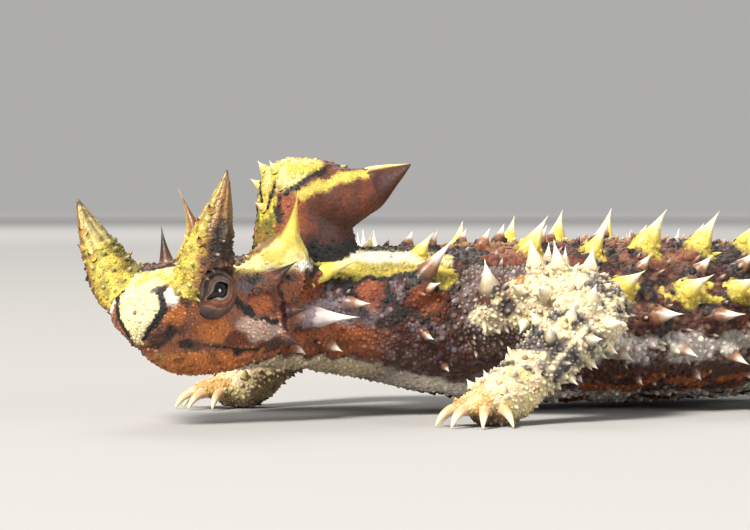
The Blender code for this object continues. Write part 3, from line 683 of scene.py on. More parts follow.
def carve(shell):  # mouth, nostrils, ears, the dip round the eyes, folds of the neck and a rumpled trunk
    points, out = coordinates(shell.data), normals(shell.data)
    local = headLocal(points)
    depth, sink = np.zeros(len(points)), np.zeros((len(points), 3))
    for line in bothSides(mouthLine):
        gone = nearLine(local, line)
        depth += 0.55 * np.exp(-((gone / 0.26) ** 2))
        lip = nearLine(local, [(a, b, c + 0.75) for a, b, c in line])
        depth -= 0.12 * np.exp(-((lip / 0.4) ** 2))
    for side in (1, -1):
        for hole in openings.values():
            gone = reachOf(local, np.array(hole["at"]) * (1, side, 1))
            depth += hole["deep"] * np.exp(-((gone / hole["reach"]) ** 2))
    for centre, facing in eyeAxes.values():
        ahead, across = fromEye(local, centre, facing)
        keep = fade(across, 2.25, 3.0)
        lowered = np.minimum(ahead, 0.45) * (1 - keep) + ahead * keep
        sink = sink + np.where(ahead > 0, lowered - ahead, 0)[:, None] * facing
    place = Places(points, ["back", "head"])
    x = points[:, 0]
    folds = np.exp(-(((x + 40.6) / 0.8) ** 2)) + 0.6 * np.exp(-(((x + 35.4) / 0.9) ** 2))
    low = fade(abs(place.angle), 70, 95)
    depth += np.where(place.on("back"), 0.45 * folds * low, 0)
    rumple = np.array([noise.noise(Vector(p) * 0.42) for p in points])
    body = fade(x, -44, -36)
    depth += 0.22 * rumple * body
    points = points - out * depth[:, None] + inHead(sink) - inHead(np.zeros(3))
    shell.data.vertices.foreach_set("co", points.ravel())
    shell.data.update()


skin = skinShell()
print("skin fused", len(skin.data.polygons))
refineHead(skin)
carve(skin)
print("skin carved", len(skin.data.polygons))

# Markings, with painted shade and light among them: one set of colours for the skin and all that grows on it.


def tint(code):  # a web colour as linear light
    value = np.array([int(code[i : i + 2], 16) for i in (0, 2, 4)]) / 255
    return np.where(value <= 0.04045, value / 12.92, ((value + 0.055) / 1.055) ** 2.4)


tones = {
    "yellow": "bfaa48", "paleYellow": "d6ca93", "cream": "d3c4a0", "white": "ddd2c2", "olive": "6e6428",
    "ochre": "9a6c2e", "rust": "64301b", "orange": "9c542b", "brown": "47291c", "darkRed": "3c1811",
    "black": "12100f", "lavender": "76676c", "pink": "8c5f49", "grey": "534d4a", "paleGrey": "aca29b",
    "tan": "82583b", "umber": "261a15", "blush": "b8998a", "amber": "c2743a", "straw": "b7a45a",
}
tones = {name: tint(code) for name, code in tones.items()}


def wander(points, scale, seed):  # smooth noise, about -0.6 to 0.6
    start = Vector((seed * 7.3, seed * 3.1, -seed * 5.7))
    return np.array([noise.noise(Vector(p) * scale + start) for p in points])


class Paint:  # colours of a set of points, laid one over another where the mask is 1
    def __init__(self, count, tone):
        self.colour = np.tile(tones[tone], (count, 1))
        self.mask = np.ones(count)

    def lay(self, tone, share=1.0):
        self.colour += np.clip(self.mask * share, 0, 1)[:, None] * (tones[tone] - self.colour)


def strip(value, centre, half, soft):  # 1 within half of the centre
    return 1 - fade(abs(value - centre), half - soft, half + soft)


faceLines = {
    "far": [(3.8, -2.7, 1.3), (4.5, -2.9, 0.9), (5.6, -2.5, 0.1), (6.6, -1.9, -1.0), (6.9, -1.6, -1.8),
            (7.0, -1.2, -2.6), (6.8, -0.8, -3.2)],
    "near": [(4.9, 2.2, 0.9), (5.3, 2.6, 0.3), (5.7, 2.9, -0.5), (5.8, 2.9, -1.3), (6.1, 2.5, -2.0),
             (6.4, 2.0, -2.6), (6.6, 1.4, -3.1), (6.4, 0.6, -3.8)],
}  # each line's places in the head
pairedLines = {
    "behindEye": ([(-2.3, 6.2, -1.2), (-3.1, 6.6, -1.9), (-3.9, 6.9, -2.5)], 0.42, "black"),
    "underEye": ([(-3.2, 6.6, -2.5), (-4.3, 7.0, -3.0), (-6.2, 7.5, -3.6), (-7.2, 7.7, -3.7)], 0.3, "black"),
    "backOfJaw": ([(-8.6, 7.6, 1.4), (-8.6, 8.4, -1.5), (-8.6, 8.2, -4.0), (-9.8, 6.0, -6.4)], 0.75,
                  "darkRed"),
    "overCheek": ([(-6.6, 7.4, 0.1), (-8.2, 7.9, 0.4), (-9.2, 8.4, 0.8), (-10.4, 8.0, 1.4)], 0.38, "black"),
    # painted shade: dark along the carved mouth slit and at its corner
    "mouthSlitShade": (mouthLine, 0.16, "umber"),
    "mouthCorner": ([(-2.4, 4.2, -5.4), (-3.0, 4.7, -6.0), (-5.8, 5.7, -6.4)], 0.36, "umber"),
}  # places on the left, half width and tone
facePatches = [
    ("brown", (3.8, 4.4, -0.2), (0.8, 0.9, 1.6)),
    ("white", (4.8, 3.5, 0.0), (0.8, 0.75, 1.2)),
    ("brown", (5.2, 1.9, -3.9), (1.5, 1.3, 0.7)),
    ("umber", (4.2, 2.5, -3.5), (0.9, 0.8, 0.6)),
    ("umber", (2.2, 2.7, -4.8), (1.0, 0.9, 0.55)),
    ("amber", (4.6, 3.4, -2.0), (1.5, 1.2, 0.9)),
    ("amber", (0.0, 4.8, -3.9), (2.3, 1.6, 1.3)),
    ("rust", (-2.6, 5.9, -5.0), (1.8, 1.4, 0.8)),
    ("blush", (-3.6, 6.6, -3.7), (1.8, 1.4, 0.9)),
    ("blush", (-5.8, 7.1, -4.5), (2.7, 1.8, 1.2)),
    ("rust", (-5.8, 7.3, -1.6), (2.6, 1.9, 1.4)),
    ("orange", (-5.4, 7.2, -1.8), (1.7, 1.6, 0.9)),
    ("brown", (-7.6, 6.6, -6.0), (2.6, 1.8, 0.8)),
    ("lavender", (-4.2, 6.4, 0.2), (1.5, 1.3, 0.8)),
    ("grey", (-5.4, 6.6, 0.8), (1.7, 1.4, 0.5)),
    ("orange", (0.4, 5.1, -2.9), (1.9, 1.1, 0.5)),
]  # tone, centre on the left, and the three radii
faceSpots = [((7.0, 0.4, -1.1), 0.2, "tan"), ((4.9, 1.8, 1.0), 0.62, "grey"),
             ((4.8, 2.5, 0.8), 0.5, "umber"), ((4.2, -2.8, 1.1), 0.4, "umber")]  # place, radius and tone


def paintHead(paint, place, shake):
    lay = paint.lay
    local = headLocal(place.points)
    a, b, c = local.T
    side = abs(b)
    warped = local + shake[:, None] * 0.4
    lay("pink")
    lay("orange", fade(-shake, -0.2, 0.15) * 0.6)
    lay("brown", fade(shake, 0.1, 0.35) * 0.6)
    top = fade(c, 1.2, 2.4)
    lay("brown", top)
    lay("tan", top * fade(shake, 0.0, 0.2) * 0.7)
    band = fade(c - 0.25 * side, 0.5, 0.9) * fade(a, 1.7, 2.1)
    lay("paleYellow", band)
    lay("yellow", band * np.maximum(fade(-shake, 0.0, 0.2), fade(side, 3.4, 4.6)) * 0.8)
    lay("olive", strip(side, 4.6, 1.0, 0.5) * fade(c, 1.8, 2.6) * 0.8)
    rear = fade(-a, 1.8, 3.0) * fade(c, 1.2, 1.9)
    lay("olive", rear)
    lay("straw", rear * fade(-a, 4.2, 6.0) * 0.95)
    lay("paleYellow", rear * fade(-a, 4.6, 6.6) * fade(shake, -0.1, 0.15) * 0.8)
    for tone, spot, radii in facePatches:
        for out in (1, -1):
            reach = reachOf(warped, np.array(spot) * (1, out, 1), radii)
            lay(tone, (1 - fade(reach, 0.75, 1.15)) * 0.92)
    low = np.interp(c, [-4.3, -3.2, -2.6, -1.8, -1.0, 0.1, 0.9], [-0.5, -0.8, -1.2, -1.6, -1.9, -2.5, -2.9])
    high = np.interp(c, [-4.3, -3.9, -3.1, -2.6, -2.0, -1.3, -0.5, 0.3, 1.0],
                     [0.2, 0.5, 1.4, 2.0, 2.5, 2.9, 2.9, 2.6, 2.1])
    pale = fade(b - low, -0.12, 0.12) * fade(high - b, -0.12, 0.12) * fade(c, -4.5, -4.2) * fade(a, 3.0, 3.8)
    lay("paleYellow", pale)
    lay("cream", pale * fade(shake, -0.1, 0.2) * 0.7)
    # painted light: the jaw's own orange underside is painted brighter amber to stand for light from below,
    # and straw specks on it are painted highlights
    under = fade(-(c + 0.32 * np.minimum(side, 5) * 0.6), 5.05, 5.35) * fade(a, -7.5, -6.0)
    lay("amber", under)
    lay("straw", under * fade(a, 1.0, 5.0) * fade(wander(local, 1.1, 16), -0.1, 0.25) * 0.7)
    lay("rust", under * fade(-shake, 0.05, 0.25) * 0.6)
    # painted shade: a black line along the valley between the horns
    valleyShadeLine = nearLine(warped, [(1.3, -3.6, 3.3), (1.5, 0, 3.0), (1.3, 3.2, 3.3)])
    lay("black", 1 - fade(valleyShadeLine, 0.25, 0.45))
    for name, line in faceLines.items():
        gone = nearLine(local + 0.5 * shake[:, None] * (0, 0.4, 0.4), line)
        half = 0.25 if name == "far" else 0.33 - 0.12 * fade(-c, 2.4, 3.6)
        lay("black", 1 - fade(gone, half, half + 0.12))
    for line, half, tone in pairedLines.values():
        for way in bothSides(line):
            lay(tone, 1 - fade(nearLine(warped, way), half * 0.7, half * 1.4))
    for spot, size, tone in faceSpots:
        lay(tone, 1 - fade(reachOf(local, spot), size * 0.8, size * 1.2))


def outlined(paint, share, field, tone, edge):  # a patch with a dark border, where field is above 0
    paint.lay("black", share * fade(field, -edge, -edge * 0.5))
    paint.lay(tone, share * fade(field, 0, edge * 0.4))


def paintBack(paint, place, shake, slow):
    lay = paint.lay
    x = place.points[:, 0] + 1.2 * slow
    angle = abs(place.angle) + 6 * shake + 4 * slow
    front, tail = 1 - fade(x, -27, -20), fade(x, 30, 36)
    trunk = (1 - front) * (1 - tail)
    speck = wander(place.points, 1.5, 9)
    lay("brown")
    lay("darkRed", fade(slow, -0.05, 0.2) * 0.8)
    lay("lavender", fade(speck, 0.05, 0.25) * 0.7)
    # upper back: dark ground with paired rust and tan saddles
    upper = 1 - fade(angle, 44, 52)
    lay("umber", upper * 0.9)
    beat = np.cos(2 * pi * (x - 2) / 15)
    outlined(paint, upper * fade(angle, 12, 17) * (1 - front), beat + 0.25 + 2 * shake, "rust", 0.35)
    lay("tan", upper * trunk * fade(beat + 2 * shake, 0.5, 0.9) * 0.7)
    # line down the middle of the back
    spine = abs(place.angle) + 3 * shake
    lay("ochre", (1 - fade(spine, 6, 9)) * (1 - front * 0.7) * 0.8)
    # side stripe: whole on the neck, broken into yellow patches behind it
    wave = np.cos(2 * pi * (x + 33.5) / 9.5)
    bottom = np.where(x < -22, 61 + 5 * wave, 79 + 3 * np.cos(2 * pi * (x - 1) / 4.5))
    above = np.where(x < -22, 26, 62)
    run = np.where(x < -20, 1.0, fade(np.cos(2 * pi * (x - 2) / 9) + 0.35 + 1.6 * shake, 0.0, 0.3))
    stripe = fade(angle, above - 1.5, above + 1.5) * (1 - fade(angle, bottom - 1.2, bottom + 0.6))
    rim = fade(angle, above - 8, above - 5) * (1 - fade(angle, bottom + 4, bottom + 6.5))
    lay("black", run * rim * (1 - 0.5 * tail))
    lay("yellow", run * stripe)
    lay("cream", front * strip(angle, above + 10, 11, 5) * fade(x, -42, -36) * 0.9)
    lay("white", front * strip(angle, above + 9, 6, 4) * fade(x, -40, -36) * 0.7)
    lay("olive", front * strip(angle, bottom - 7, 6, 4) * 0.6)
    # below it: rust cells outlined in black on the neck, dark red and black on the trunk
    cells = np.cos(2 * pi * (x + 32.4 + 0.05 * (angle - 80)) / 6.4) + 0.45 + 1.5 * shake
    below = fade(angle, bottom + 4, bottom + 6) * (1 - fade(angle, 93, 97))
    outlined(paint, below * front, cells, "rust", 0.7)
    lay("orange", below * front * fade(cells, 0.9, 1.2) * 0.5)
    middle = strip(angle, 74, 26, 5) * (1 - run * stripe) * trunk
    lay("darkRed", middle * 0.9)
    lay("black", middle * fade(wander(place.points, 0.35, 4), -0.08, 0.04) * 0.9)
    lay("tan", middle * fade(speck, 0.15, 0.3) * 0.5)
    # sides of the neck
    lilac = front * strip(angle, 96, 9, 4)
    lay("lavender", lilac * (1 - fade(x, -34, -30)))
    lay("black", lilac * fade(x, -35, -31) * fade(wander(place.points, 0.7, 12), -0.05, 0.05) * 0.85)
    lay("orange", front * (1 - fade(x, -33, -28)) * strip(angle, 122, 15, 5) * 0.9)
    lay("brown", front * strip(angle, 122, 17, 5) * fade(shake, 0.0, 0.2) * 0.5)
    lay("cream", front * (1 - fade(x, -31, -26)) * fade(angle, 139, 146))
    lay("blush", front * (1 - fade(x, -31, -26)) * fade(angle, 139, 146) * fade(speck, 0.0, 0.2) * 0.5)
    # flank and belly
    flank = fade(x, -18, -12) * (1 - tail)
    pale = strip(angle, 109, 9, 3) * fade(0.5 + wander(place.points, 0.4, 6), 0.25, 0.4)
    lay("paleGrey", flank * pale)
    lay("white", flank * strip(angle, 107, 5, 3) * fade(speck, 0.0, 0.2) * 0.7)
    lay("brown", flank * strip(angle, 127, 8, 3))
    rusty = wander(place.points, 0.4, 5)
    lay("orange", flank * strip(angle, 136, 9, 3) * fade(rusty, 0.0, 0.12) * 0.9)
    belly = wander(place.points, 0.28, 8)
    lay("white", fade(angle, 143, 149) * fade(x, -30, -24))
    lay("umber", fade(angle, 145, 152) * strip(belly, 0.14, 0.05, 0.02) * fade(x, -26, -20))
    lay("rust", fade(angle, 146, 153) * fade(belly, 0.17, 0.21) * fade(x, -26, -20))
    # tail: bands all round
    bands = np.cos(2 * pi * (x - 38) / 12.5) + 1.6 * shake
    outlined(paint, tail * fade(angle, 10, 16), bands, "rust", 0.45)
    lay("paleYellow", tail * (1 - fade(bands, -0.75, -0.45)) * 0.85)


def paintLimb(paint, place, shake, slow):
    lay = paint.lay
    s, out = place.s + 2.2 * slow + 1.2 * shake, abs(place.points[:, 1])
    lump, speck = wander(place.points, 0.8, 14), wander(place.points, 1.6, 9)
    lay("cream")
    lay("paleYellow", fade(shake, 0.05, 0.3) * 0.6)
    lay("tan", fade(-speck, 0.12, 0.3) * 0.5)
    for centre, half in ((13.0, 1.6), (19.0, 1.5), (23.4, 1.5), (28.0, 1.1)):
        spotted = strip(s, centre, half, 0.4) * (1 - fade(abs(place.angle), 70, 120))
        spotted = spotted * fade(lump, -0.25, -0.1)
        lay("grey", spotted)
        lay("umber", spotted * fade(speck, -0.12, 0.05))
    near = 1 - fade(out + 1.6 * shake, 13.2, 14.2)
    lay("brown", near)
    lay("lavender", near * fade(speck, 0.0, 0.2) * 0.8)
    lay("umber", near * fade(-lump, 0.1, 0.2) * 0.8)
    for spot, reach, tone in (((-19.2, 13.6, 13.6), (1.3, 1.2, 1.3), "ochre"),
                              ((-21.7, 11.6, 10.4), (2.3, 2.0, 1.6), "cream")):
        for side in (1, -1):
            gone = reachOf(place.points, np.array(spot) * (1, side, 1), reach)
            lay(tone, 1 - fade(gone + 0.7 * shake, 0.75, 1.0))
    lay("tan", fade(abs(place.angle), 105, 140) * 0.5)


knobMiddle = 1.6  # y
knobSlant = {"x": -39.7, "z": 23.4, "rise": 0.61}  # the yellow top's lower edge
knobLines = [
    ("yellow", [(-38.3, -2.2, 23.2), (-36.6, -2.8, 24.0), (-34.9, -3.4, 24.7), (-33.2, -3.5, 25.2),
                (-30.7, -4.2, 25.6)], 0.55),
    ("black", [(-39.9, -0.5, 22.4), (-39.6, -1.0, 23.2), (-39.2, -1.5, 23.6), (-38.2, -1.9, 24.3),
               (-37.3, -2.2, 24.9), (-35.8, -2.1, 25.5), (-34.5, -1.7, 25.9), (-33.0, -1.9, 26.0)], 0.34),
    ("black", [(-40.4, 2.2, 21.6), (-40.4, 2.5, 22.6), (-40.2, 3.4, 24.3)], 0.3),
    ("black", [(-33.0, -1.9, 26.0), (-31.0, 1.6, 26.2), (-33.0, 5.1, 26.0)], 0.3),
    ("umber", [(-40.2, -0.5, 21.8), (-40.0, -0.7, 20.6)], 0.5),
    ("olive", [(-40.6, 0.6, 19.4), (-40.5, 0.2, 21.0)], 0.45),
]  # tone, places on the left of the knob, and half width


def paintKnob(paint, place, shake):
    lay = paint.lay
    x, y, z = place.points.T
    side = abs(y - knobMiddle)
    slant = z - knobSlant["z"] - knobSlant["rise"] * (x - knobSlant["x"]) - 0.4 * shake  # above that edge
    lay("rust")
    lay("brown", fade(shake, -0.15, 0.2) * 0.7)
    lay("umber", fade(x + 37.4, 0, 1.5) * strip(z + 0.3 * x, 9.6, 1.6, 1.4) * 0.6)
    lay("orange", fade(-(x + 37.6), 0, 1.2) * fade(z, 17.5, 19) * 0.6)
    lay("darkRed", (1 - fade(z + shake, 18.6, 19.6)) * 0.8)
    lay("black", 1 - fade(z + shake, 17.8, 18.4))
    strap = fade(-(x + 38.8), -0.1, 0.4) * (1 - fade(side + 0.8 * shake, 1.9, 2.3)) * fade(z, 17.5, 18.5)
    lay("olive", strap)
    lay("ochre", strap * fade(shake, -0.1, 0.1) * 0.7)
    lay("yellow", np.maximum(strap * fade(z + shake, 19.8, 21.0), fade(slant, 0.1, 0.35)))
    lay("paleYellow", fade(slant, 0.1, 0.35) * fade(shake, 0.0, 0.2) * 0.6)
    warped = place.points + 0.35 * shake[:, None]
    for tone, line, half in knobLines:
        for flip in (1, -1):
            way = [(a, knobMiddle + (b - knobMiddle) * flip, c) for a, b, c in line]
            lay(tone, 1 - fade(nearLine(warped, way), half * 0.75, half * 1.3))


def hornColours(share, turn, lump, keels):  # turn is 0 in front and 90 on the outside
    paint = Paint(share.size, "olive")
    lay = paint.lay
    rise = share + 0.12 * lump
    turn = turn + 16 * lump
    lay("ochre", strip(turn, 0, 60, 14) * 0.7)
    lay("yellow", strip(turn, -24, 42, 10) * (1 - fade(rise, 0.55, 0.8)))
    lay("olive", strip(turn, -24, 42, 10) * fade(-lump, 0.0, 0.2) * 0.6)
    lay("paleYellow", strip(turn, -70, 40, 12) * fade(rise, 0.45, 0.6) * 0.6)
    lay("brown", fade(rise, 0.5, 0.8) * fade(-lump, -0.2, 0.1) * 0.75)
    lay("olive", fade(rise, 0.45, 0.6) * 0.4)
    lay("straw", strip(turn, -12, 22, 8) * fade(rise, 0.5, 0.7) * 0.8)
    lay("brown", strip(turn, 92, 62, 10) * (1 - fade(rise, 0.45, 0.7) * 0.4) * 0.9)
    # painted shadow: a dark umber band with black along it, low on the horn's outer front where it rises from
    # the skin
    lay("umber", strip(turn, 84, 44, 10) * strip(rise, 0.38, 0.16, 0.08) * 0.7)
    lay("black", strip(turn, 66, 24, 8) * strip(rise, 0.4, 0.1, 0.04) * 0.6)
    lay("tan", strip(turn, 90, 70, 10) * (1 - fade(rise, 0.2, 0.4)) * fade(lump, -0.1, 0.2) * 0.7)
    lay("ochre", strip(turn, 60, 50, 16) * fade(rise, 0.5, 0.7) * 0.5)
    lay("umber", fade(-keels, 0.1, 0.8) * fade(rise, 0.3, 0.45) * 0.5)
    lay("tan", fade(keels, 0.4, 1) * 0.4 * fade(rise, 0.45, 0.6))
    lay("umber", fade(rise, 0.88, 1.0) * 0.8)
    return paint.colour


def markingsAndPaintedLight(place):
    shake, slow = wander(place.points, 0.75, 1), wander(place.points, 0.22, 2)
    paint = Paint(len(place.points), "tan")
    for start, lays, noises in (("back", paintBack, (shake, slow)), ("head", paintHead, (shake,)),
                                ("limb", paintLimb, (shake, slow)), ("knob", paintKnob, (shake,))):
        paint.mask = place.on(start) * 1.0
        lays(paint, place, *noises)
    paint.mask = place.on("palm") * 1.0
    paint.lay("cream")
    paint.lay("straw", fade(shake, -0.1, 0.1) * 0.7)
    paint.lay("amber", fade(-shake, 0, 0.2) * 0.3)
    paint.mask = place.on("toe") * 1.0
    paint.lay("straw")
    paint.lay("amber", fade(shake, -0.2, 0.1) * 0.45)
    paint.lay("cream", fade(-shake, -0.1, 0.2) * 0.4)
    paint.mask = (place.on("toe") | place.on("palm")) * 1.0
    paint.lay("brown", (1 - fade(place.points[:, 2] + 1.5 * shake, 0.9, 1.7)) * 0.7)
    paint.mask = 1.0
    for spine in spines:
        if not (spine["mound"] or spine["bright"]):
            continue
        root, way = spine["root"], spine["aim"] * spine["height"] + spine["sweep"]
        along = ((place.points - root) @ way) / (way @ way)
        gone = place.points - root - np.clip(along, 0, 1)[:, None] * way
        away = np.linalg.norm(gone, axis=1)
        if spine["mound"]:
            near = (1 - fade(away + 0.8 * shake, 2.5, 3.0)) * fade(along, 0.08, 0.18)
            paint.lay("yellow", near)
            paint.lay("paleYellow", near * fade(slow + shake, 0.0, 0.2) * 0.5)
            paint.lay("rust", near * fade(-gone[:, 1] * np.sign(root[1]), 0.0, 0.25) * 0.85)
        else:
            cone = spine["radius"] * np.clip(1.1 - along, 0.1, 1) + 0.25
            paint.lay("yellow", fade(along, 0.0, 0.12) * (1 - fade(away - cone, -0.1, 0.15)) * (along < 1.2))
    for out in (1, -1):  # white granules at the fin's foot
        gone = reachOf(place.points, (-40.4, 0.3 - 5.2 * out, 16.1), (2.4, 2.2, 0.9))
        paint.lay("white", 1 - fade(gone + 0.6 * shake, 0.7, 1.0))
    lump = wander(place.points, 1.3, 0)
    outside = np.where(place.form == formNames.index("horn_left"), 1, -1)
    onHorn = place.on("horn")
    share = place.s / horns["left"].length
    horny = hornColours(share, place.angle * outside, lump, np.zeros(len(share)))
    return np.where(onHorn[:, None], horny, paint.colour)


def setColours(data, colours):
    layer = data.color_attributes.new("markingsAndPaintedLight", "FLOAT_COLOR", "POINT")
    rgba = np.ones((len(data.vertices), 4))
    rgba[:, :3] = colours
    layer.data.foreach_set("color", rgba.ravel())


paintedCreviceShade = 0.8  # painted shade: the skin between the granules is painted darker than they are, as shade in the crevices
skinPlace = Places(coordinates(skin.data))
setColours(skin.data, markingsAndPaintedLight(skinPlace) * paintedCreviceShade)
print("skin painted")

# Coat: granules, tubercles and spikes over the skin, joined into a few meshes.

scaleKinds = {
    "back": {"step": 0.6, "high": 0.45, "spikes": 2.8},
    "head": {"step": 0.3, "high": 0.55, "spikes": 9.0},
    "knob": {"step": 0.38, "high": 0.3, "spikes": 9.0},
    "knobSpine": {"step": 0.34, "high": 0.22, "spikes": 30.0},
    "horn": {"step": 0.32, "high": 0.7, "spikes": 1.3},
    "limb": {"step": 0.5, "high": 0.85, "spikes": 1.9},
    "palm": {"step": 0.42, "high": 0.7, "spikes": 1.9},
    "toe": {"step": 0.4, "high": 0.6, "spikes": 9.0},
}  # distance between granules, their height as a share of their radius, and distance between spikes


def kindAt(key, form):
    return np.array([scaleKinds[name.split("_")[0]][key] for name in formNames])[form]


def smoothAt(points):  # the broad sides of the knob, below its slanting line
    x, y, z = points.T
    below = z < 0.5 + knobSlant["z"] + knobSlant["rise"] * (x - knobSlant["x"])
    return (x > -38.4) & (x < -24) & (abs(y - knobMiddle) > 2.0) & (z > 18.6) & below


def neckward(points):  # 1 on the neck, 0 on the trunk
    return 1 - fade(points[:, 0], -27, -18)


def stepAt(points, form):  # granules of the neck stand closer than those of the trunk
    return kindAt("step", form) * (1 - 0.32 * neckward(points) * (form == formNames.index("back")))


def candidates(shell, place, count, seed):  # random points over the skin, more where granules are small
    data = shell.data
    data.calc_loop_triangles()
    corners = np.zeros(len(data.loop_triangles) * 3, int)
    data.loop_triangles.foreach_get("vertices", corners)
    corners = corners.reshape(-1, 3)
    points, out = coordinates(data), normals(data)
    a, b, c = (points[corners[:, i]] for i in range(3))
    area = np.linalg.norm(np.cross(b - a, c - a), axis=1) / 2
    local = stepAt(points, place.form)[corners].mean(axis=1)
    weight = area / local**2
    draw = np.random.default_rng(seed)
    chosen = draw.choice(len(corners), count, p=weight / weight.sum())
    share = draw.dirichlet((1, 1, 1), count)
    spots = np.einsum("ij,ijk->ik", share, points[corners[chosen]])
    facing = unit(np.einsum("ij,ijk->ik", share, out[corners[chosen]]))
    return spots, facing, place.form[corners[chosen, 0]]


hornTop = 0.42  # share of a horn's length that skin and granules cover


def freeOfPieces(spots):  # not in a horn, round an eye, in the mouth or on the bare part of a spine
    local = headLocal(spots)
    free = spots[:, 2] > 0.3
    for centre, facing in eyeAxes.values():
        ahead, across = fromEye(local, centre, facing)
        free &= (across > 2.4) | (ahead < 0)
    for line in bothSides(mouthLine):
        free &= nearLine(local, line) > 0.2
    for side in (1, -1):
        for hole in openings.values():
            free &= reachOf(local, np.array(hole["at"]) * (1, side, 1)) > hole["bare"]
    for form in horns.values():
        s, _, off = form.nearest(spots)
        free &= ~((off < 0.3) & (s > form.length * hornTop))
    tree = treeOf(spots)
    for spine in spines:
        middle = spine["root"] + spine["aim"] * spine["height"] * 0.4
        for _, i, _ in tree.find_range(middle, spine["height"] * 0.5 + spine["radius"]):
            along = (spots[i] - spine["root"]) @ spine["aim"] / spine["height"]
            bare = 0.27 if spine["radius"] > skinSize["leastSpine"] else 0.05
            away = np.linalg.norm(spots[i] - spine["root"] - spine["aim"] * along * spine["height"])
            if along > bare and away < spine["radius"]:
                free[i] = False
    return free


def cellsOf(spots, size):
    return np.floor(spots / size).astype(int)


def spread(spots, radii, cells, size):  # the spots that keep clear of each other and of those in the cells
    kept = []
    where = cellsOf(spots, size)
    steps = [(i, j, k) for i in (0, -1, 1) for j in (0, -1, 1) for k in (0, -1, 1)]
    for n, ((x, y, z), r, (i, j, k)) in enumerate(zip(spots.tolist(), radii.tolist(), where.tolist())):
        clear = True
        for di, dj, dk in steps:
            for px, py, pz, pr in cells.get((i + di, j + dj, k + dk), ()):
                if (px - x) ** 2 + (py - y) ** 2 + (pz - z) ** 2 < (pr + r) ** 2:
                    clear = False
                    break
            if not clear:
                break
        if clear:
            cells.setdefault((i, j, k), []).append((x, y, z, r))
            kept.append(n)
    return np.array(kept, int)


def template(levels, sides):  # a cone of unit radius and height with rings at the levels given
    mesh = bmesh.new()
    bmesh.ops.create_cone(mesh, cap_ends=False, segments=sides, radius1=1, radius2=0, depth=1)
    bmesh.ops.translate(mesh, verts=mesh.verts, vec=(0, 0, 0.5))
    bmesh.ops.remove_doubles(mesh, verts=mesh.verts, dist=1e-5)
    for z in levels:
        everything = mesh.verts[:] + mesh.edges[:] + mesh.faces[:]
        bmesh.ops.bisect_plane(mesh, geom=everything, dist=1e-6, plane_co=(0, 0, z), plane_no=(0, 0, 1))
    mesh.normal_update()
    mesh.verts.index_update()
    points = np.array([v.co for v in mesh.verts])
    faces = [[v.index for v in f.verts] for f in mesh.faces]
    mesh.free()
    return points, faces


unwrapFoot = 0.0014  # radius of a granule's patch on the unwrap


def plant(name, shape, roots, aims, radii, heights, bends, colours, unwrap, profile, ridges=0.0, seed=1,
          sharp=1.0, bows=0.0):
    points, faces = shape
    draw = np.random.default_rng(seed)
    count, size = len(roots), len(points)
    side = unit(np.cross(aims, draw.normal(size=(count, 3))))
    other = np.cross(aims, side)
    z = np.clip(points[:, 2], 0, 1)
    around = np.arctan2(points[:, 1], points[:, 0])
    keel = 1 + ridges * np.cos(5 * around[None] + draw.uniform(0, 2 * pi, count)[:, None])
    reach = profile(z)[None] ** (np.zeros((count, 1)) + sharp) * keel * radii[:, None]
    stretch = draw.uniform(0.9, 1.18, count)[:, None]
    made = roots[:, None] + aims[:, None] * (z[None] * heights[:, None])[..., None]
    made = made + side[:, None] * (reach * np.cos(around) / stretch)[..., None]
    made = made + other[:, None] * (reach * np.sin(around) * stretch)[..., None]
    made = made + bends[:, None] * (z**2)[None, :, None] + bows * (4 * z * (1 - z))[None, :, None]
    data = bpy.data.meshes.new(name)
    whole = [[i + n * size for i in face] for n in range(count) for face in faces]
    data.from_pydata(made.reshape(-1, 3).tolist(), [], whole)
    data.validate()
    setColours(data, colours(z).reshape(-1, 3))
    spots = (unwrap[:, None] + points[None, :, :2] * unwrapFoot).reshape(-1, 2)
    corners = np.zeros(len(data.loops), int)
    data.loops.foreach_get("vertex_index", corners)
    data.uv_layers.new(name="OFBake").data.foreach_set("uv", spots[corners].ravel())
    return linked(name, data)


def dome(z):
    return np.sqrt(np.clip(1 - z**2, 0, 1)) * 0.45 + 0.55 * (1 - z)


def knobbly(z):
    return (dome(z) + peak(z)) / 2


def peak(z):
    return 0.2 * np.sqrt(np.clip(1 - z**2, 0, 1)) + 0.8 * np.clip(1 - z, 0, 1) ** 1.1


sowing = {"candidates": 560000, "seed": 3, "sizeSeed": 8, "spikes": 14000, "tubercles": 60000, "rear": 8}
footCell = 0.9  # side of the cells in which the feet of all that is sown are kept


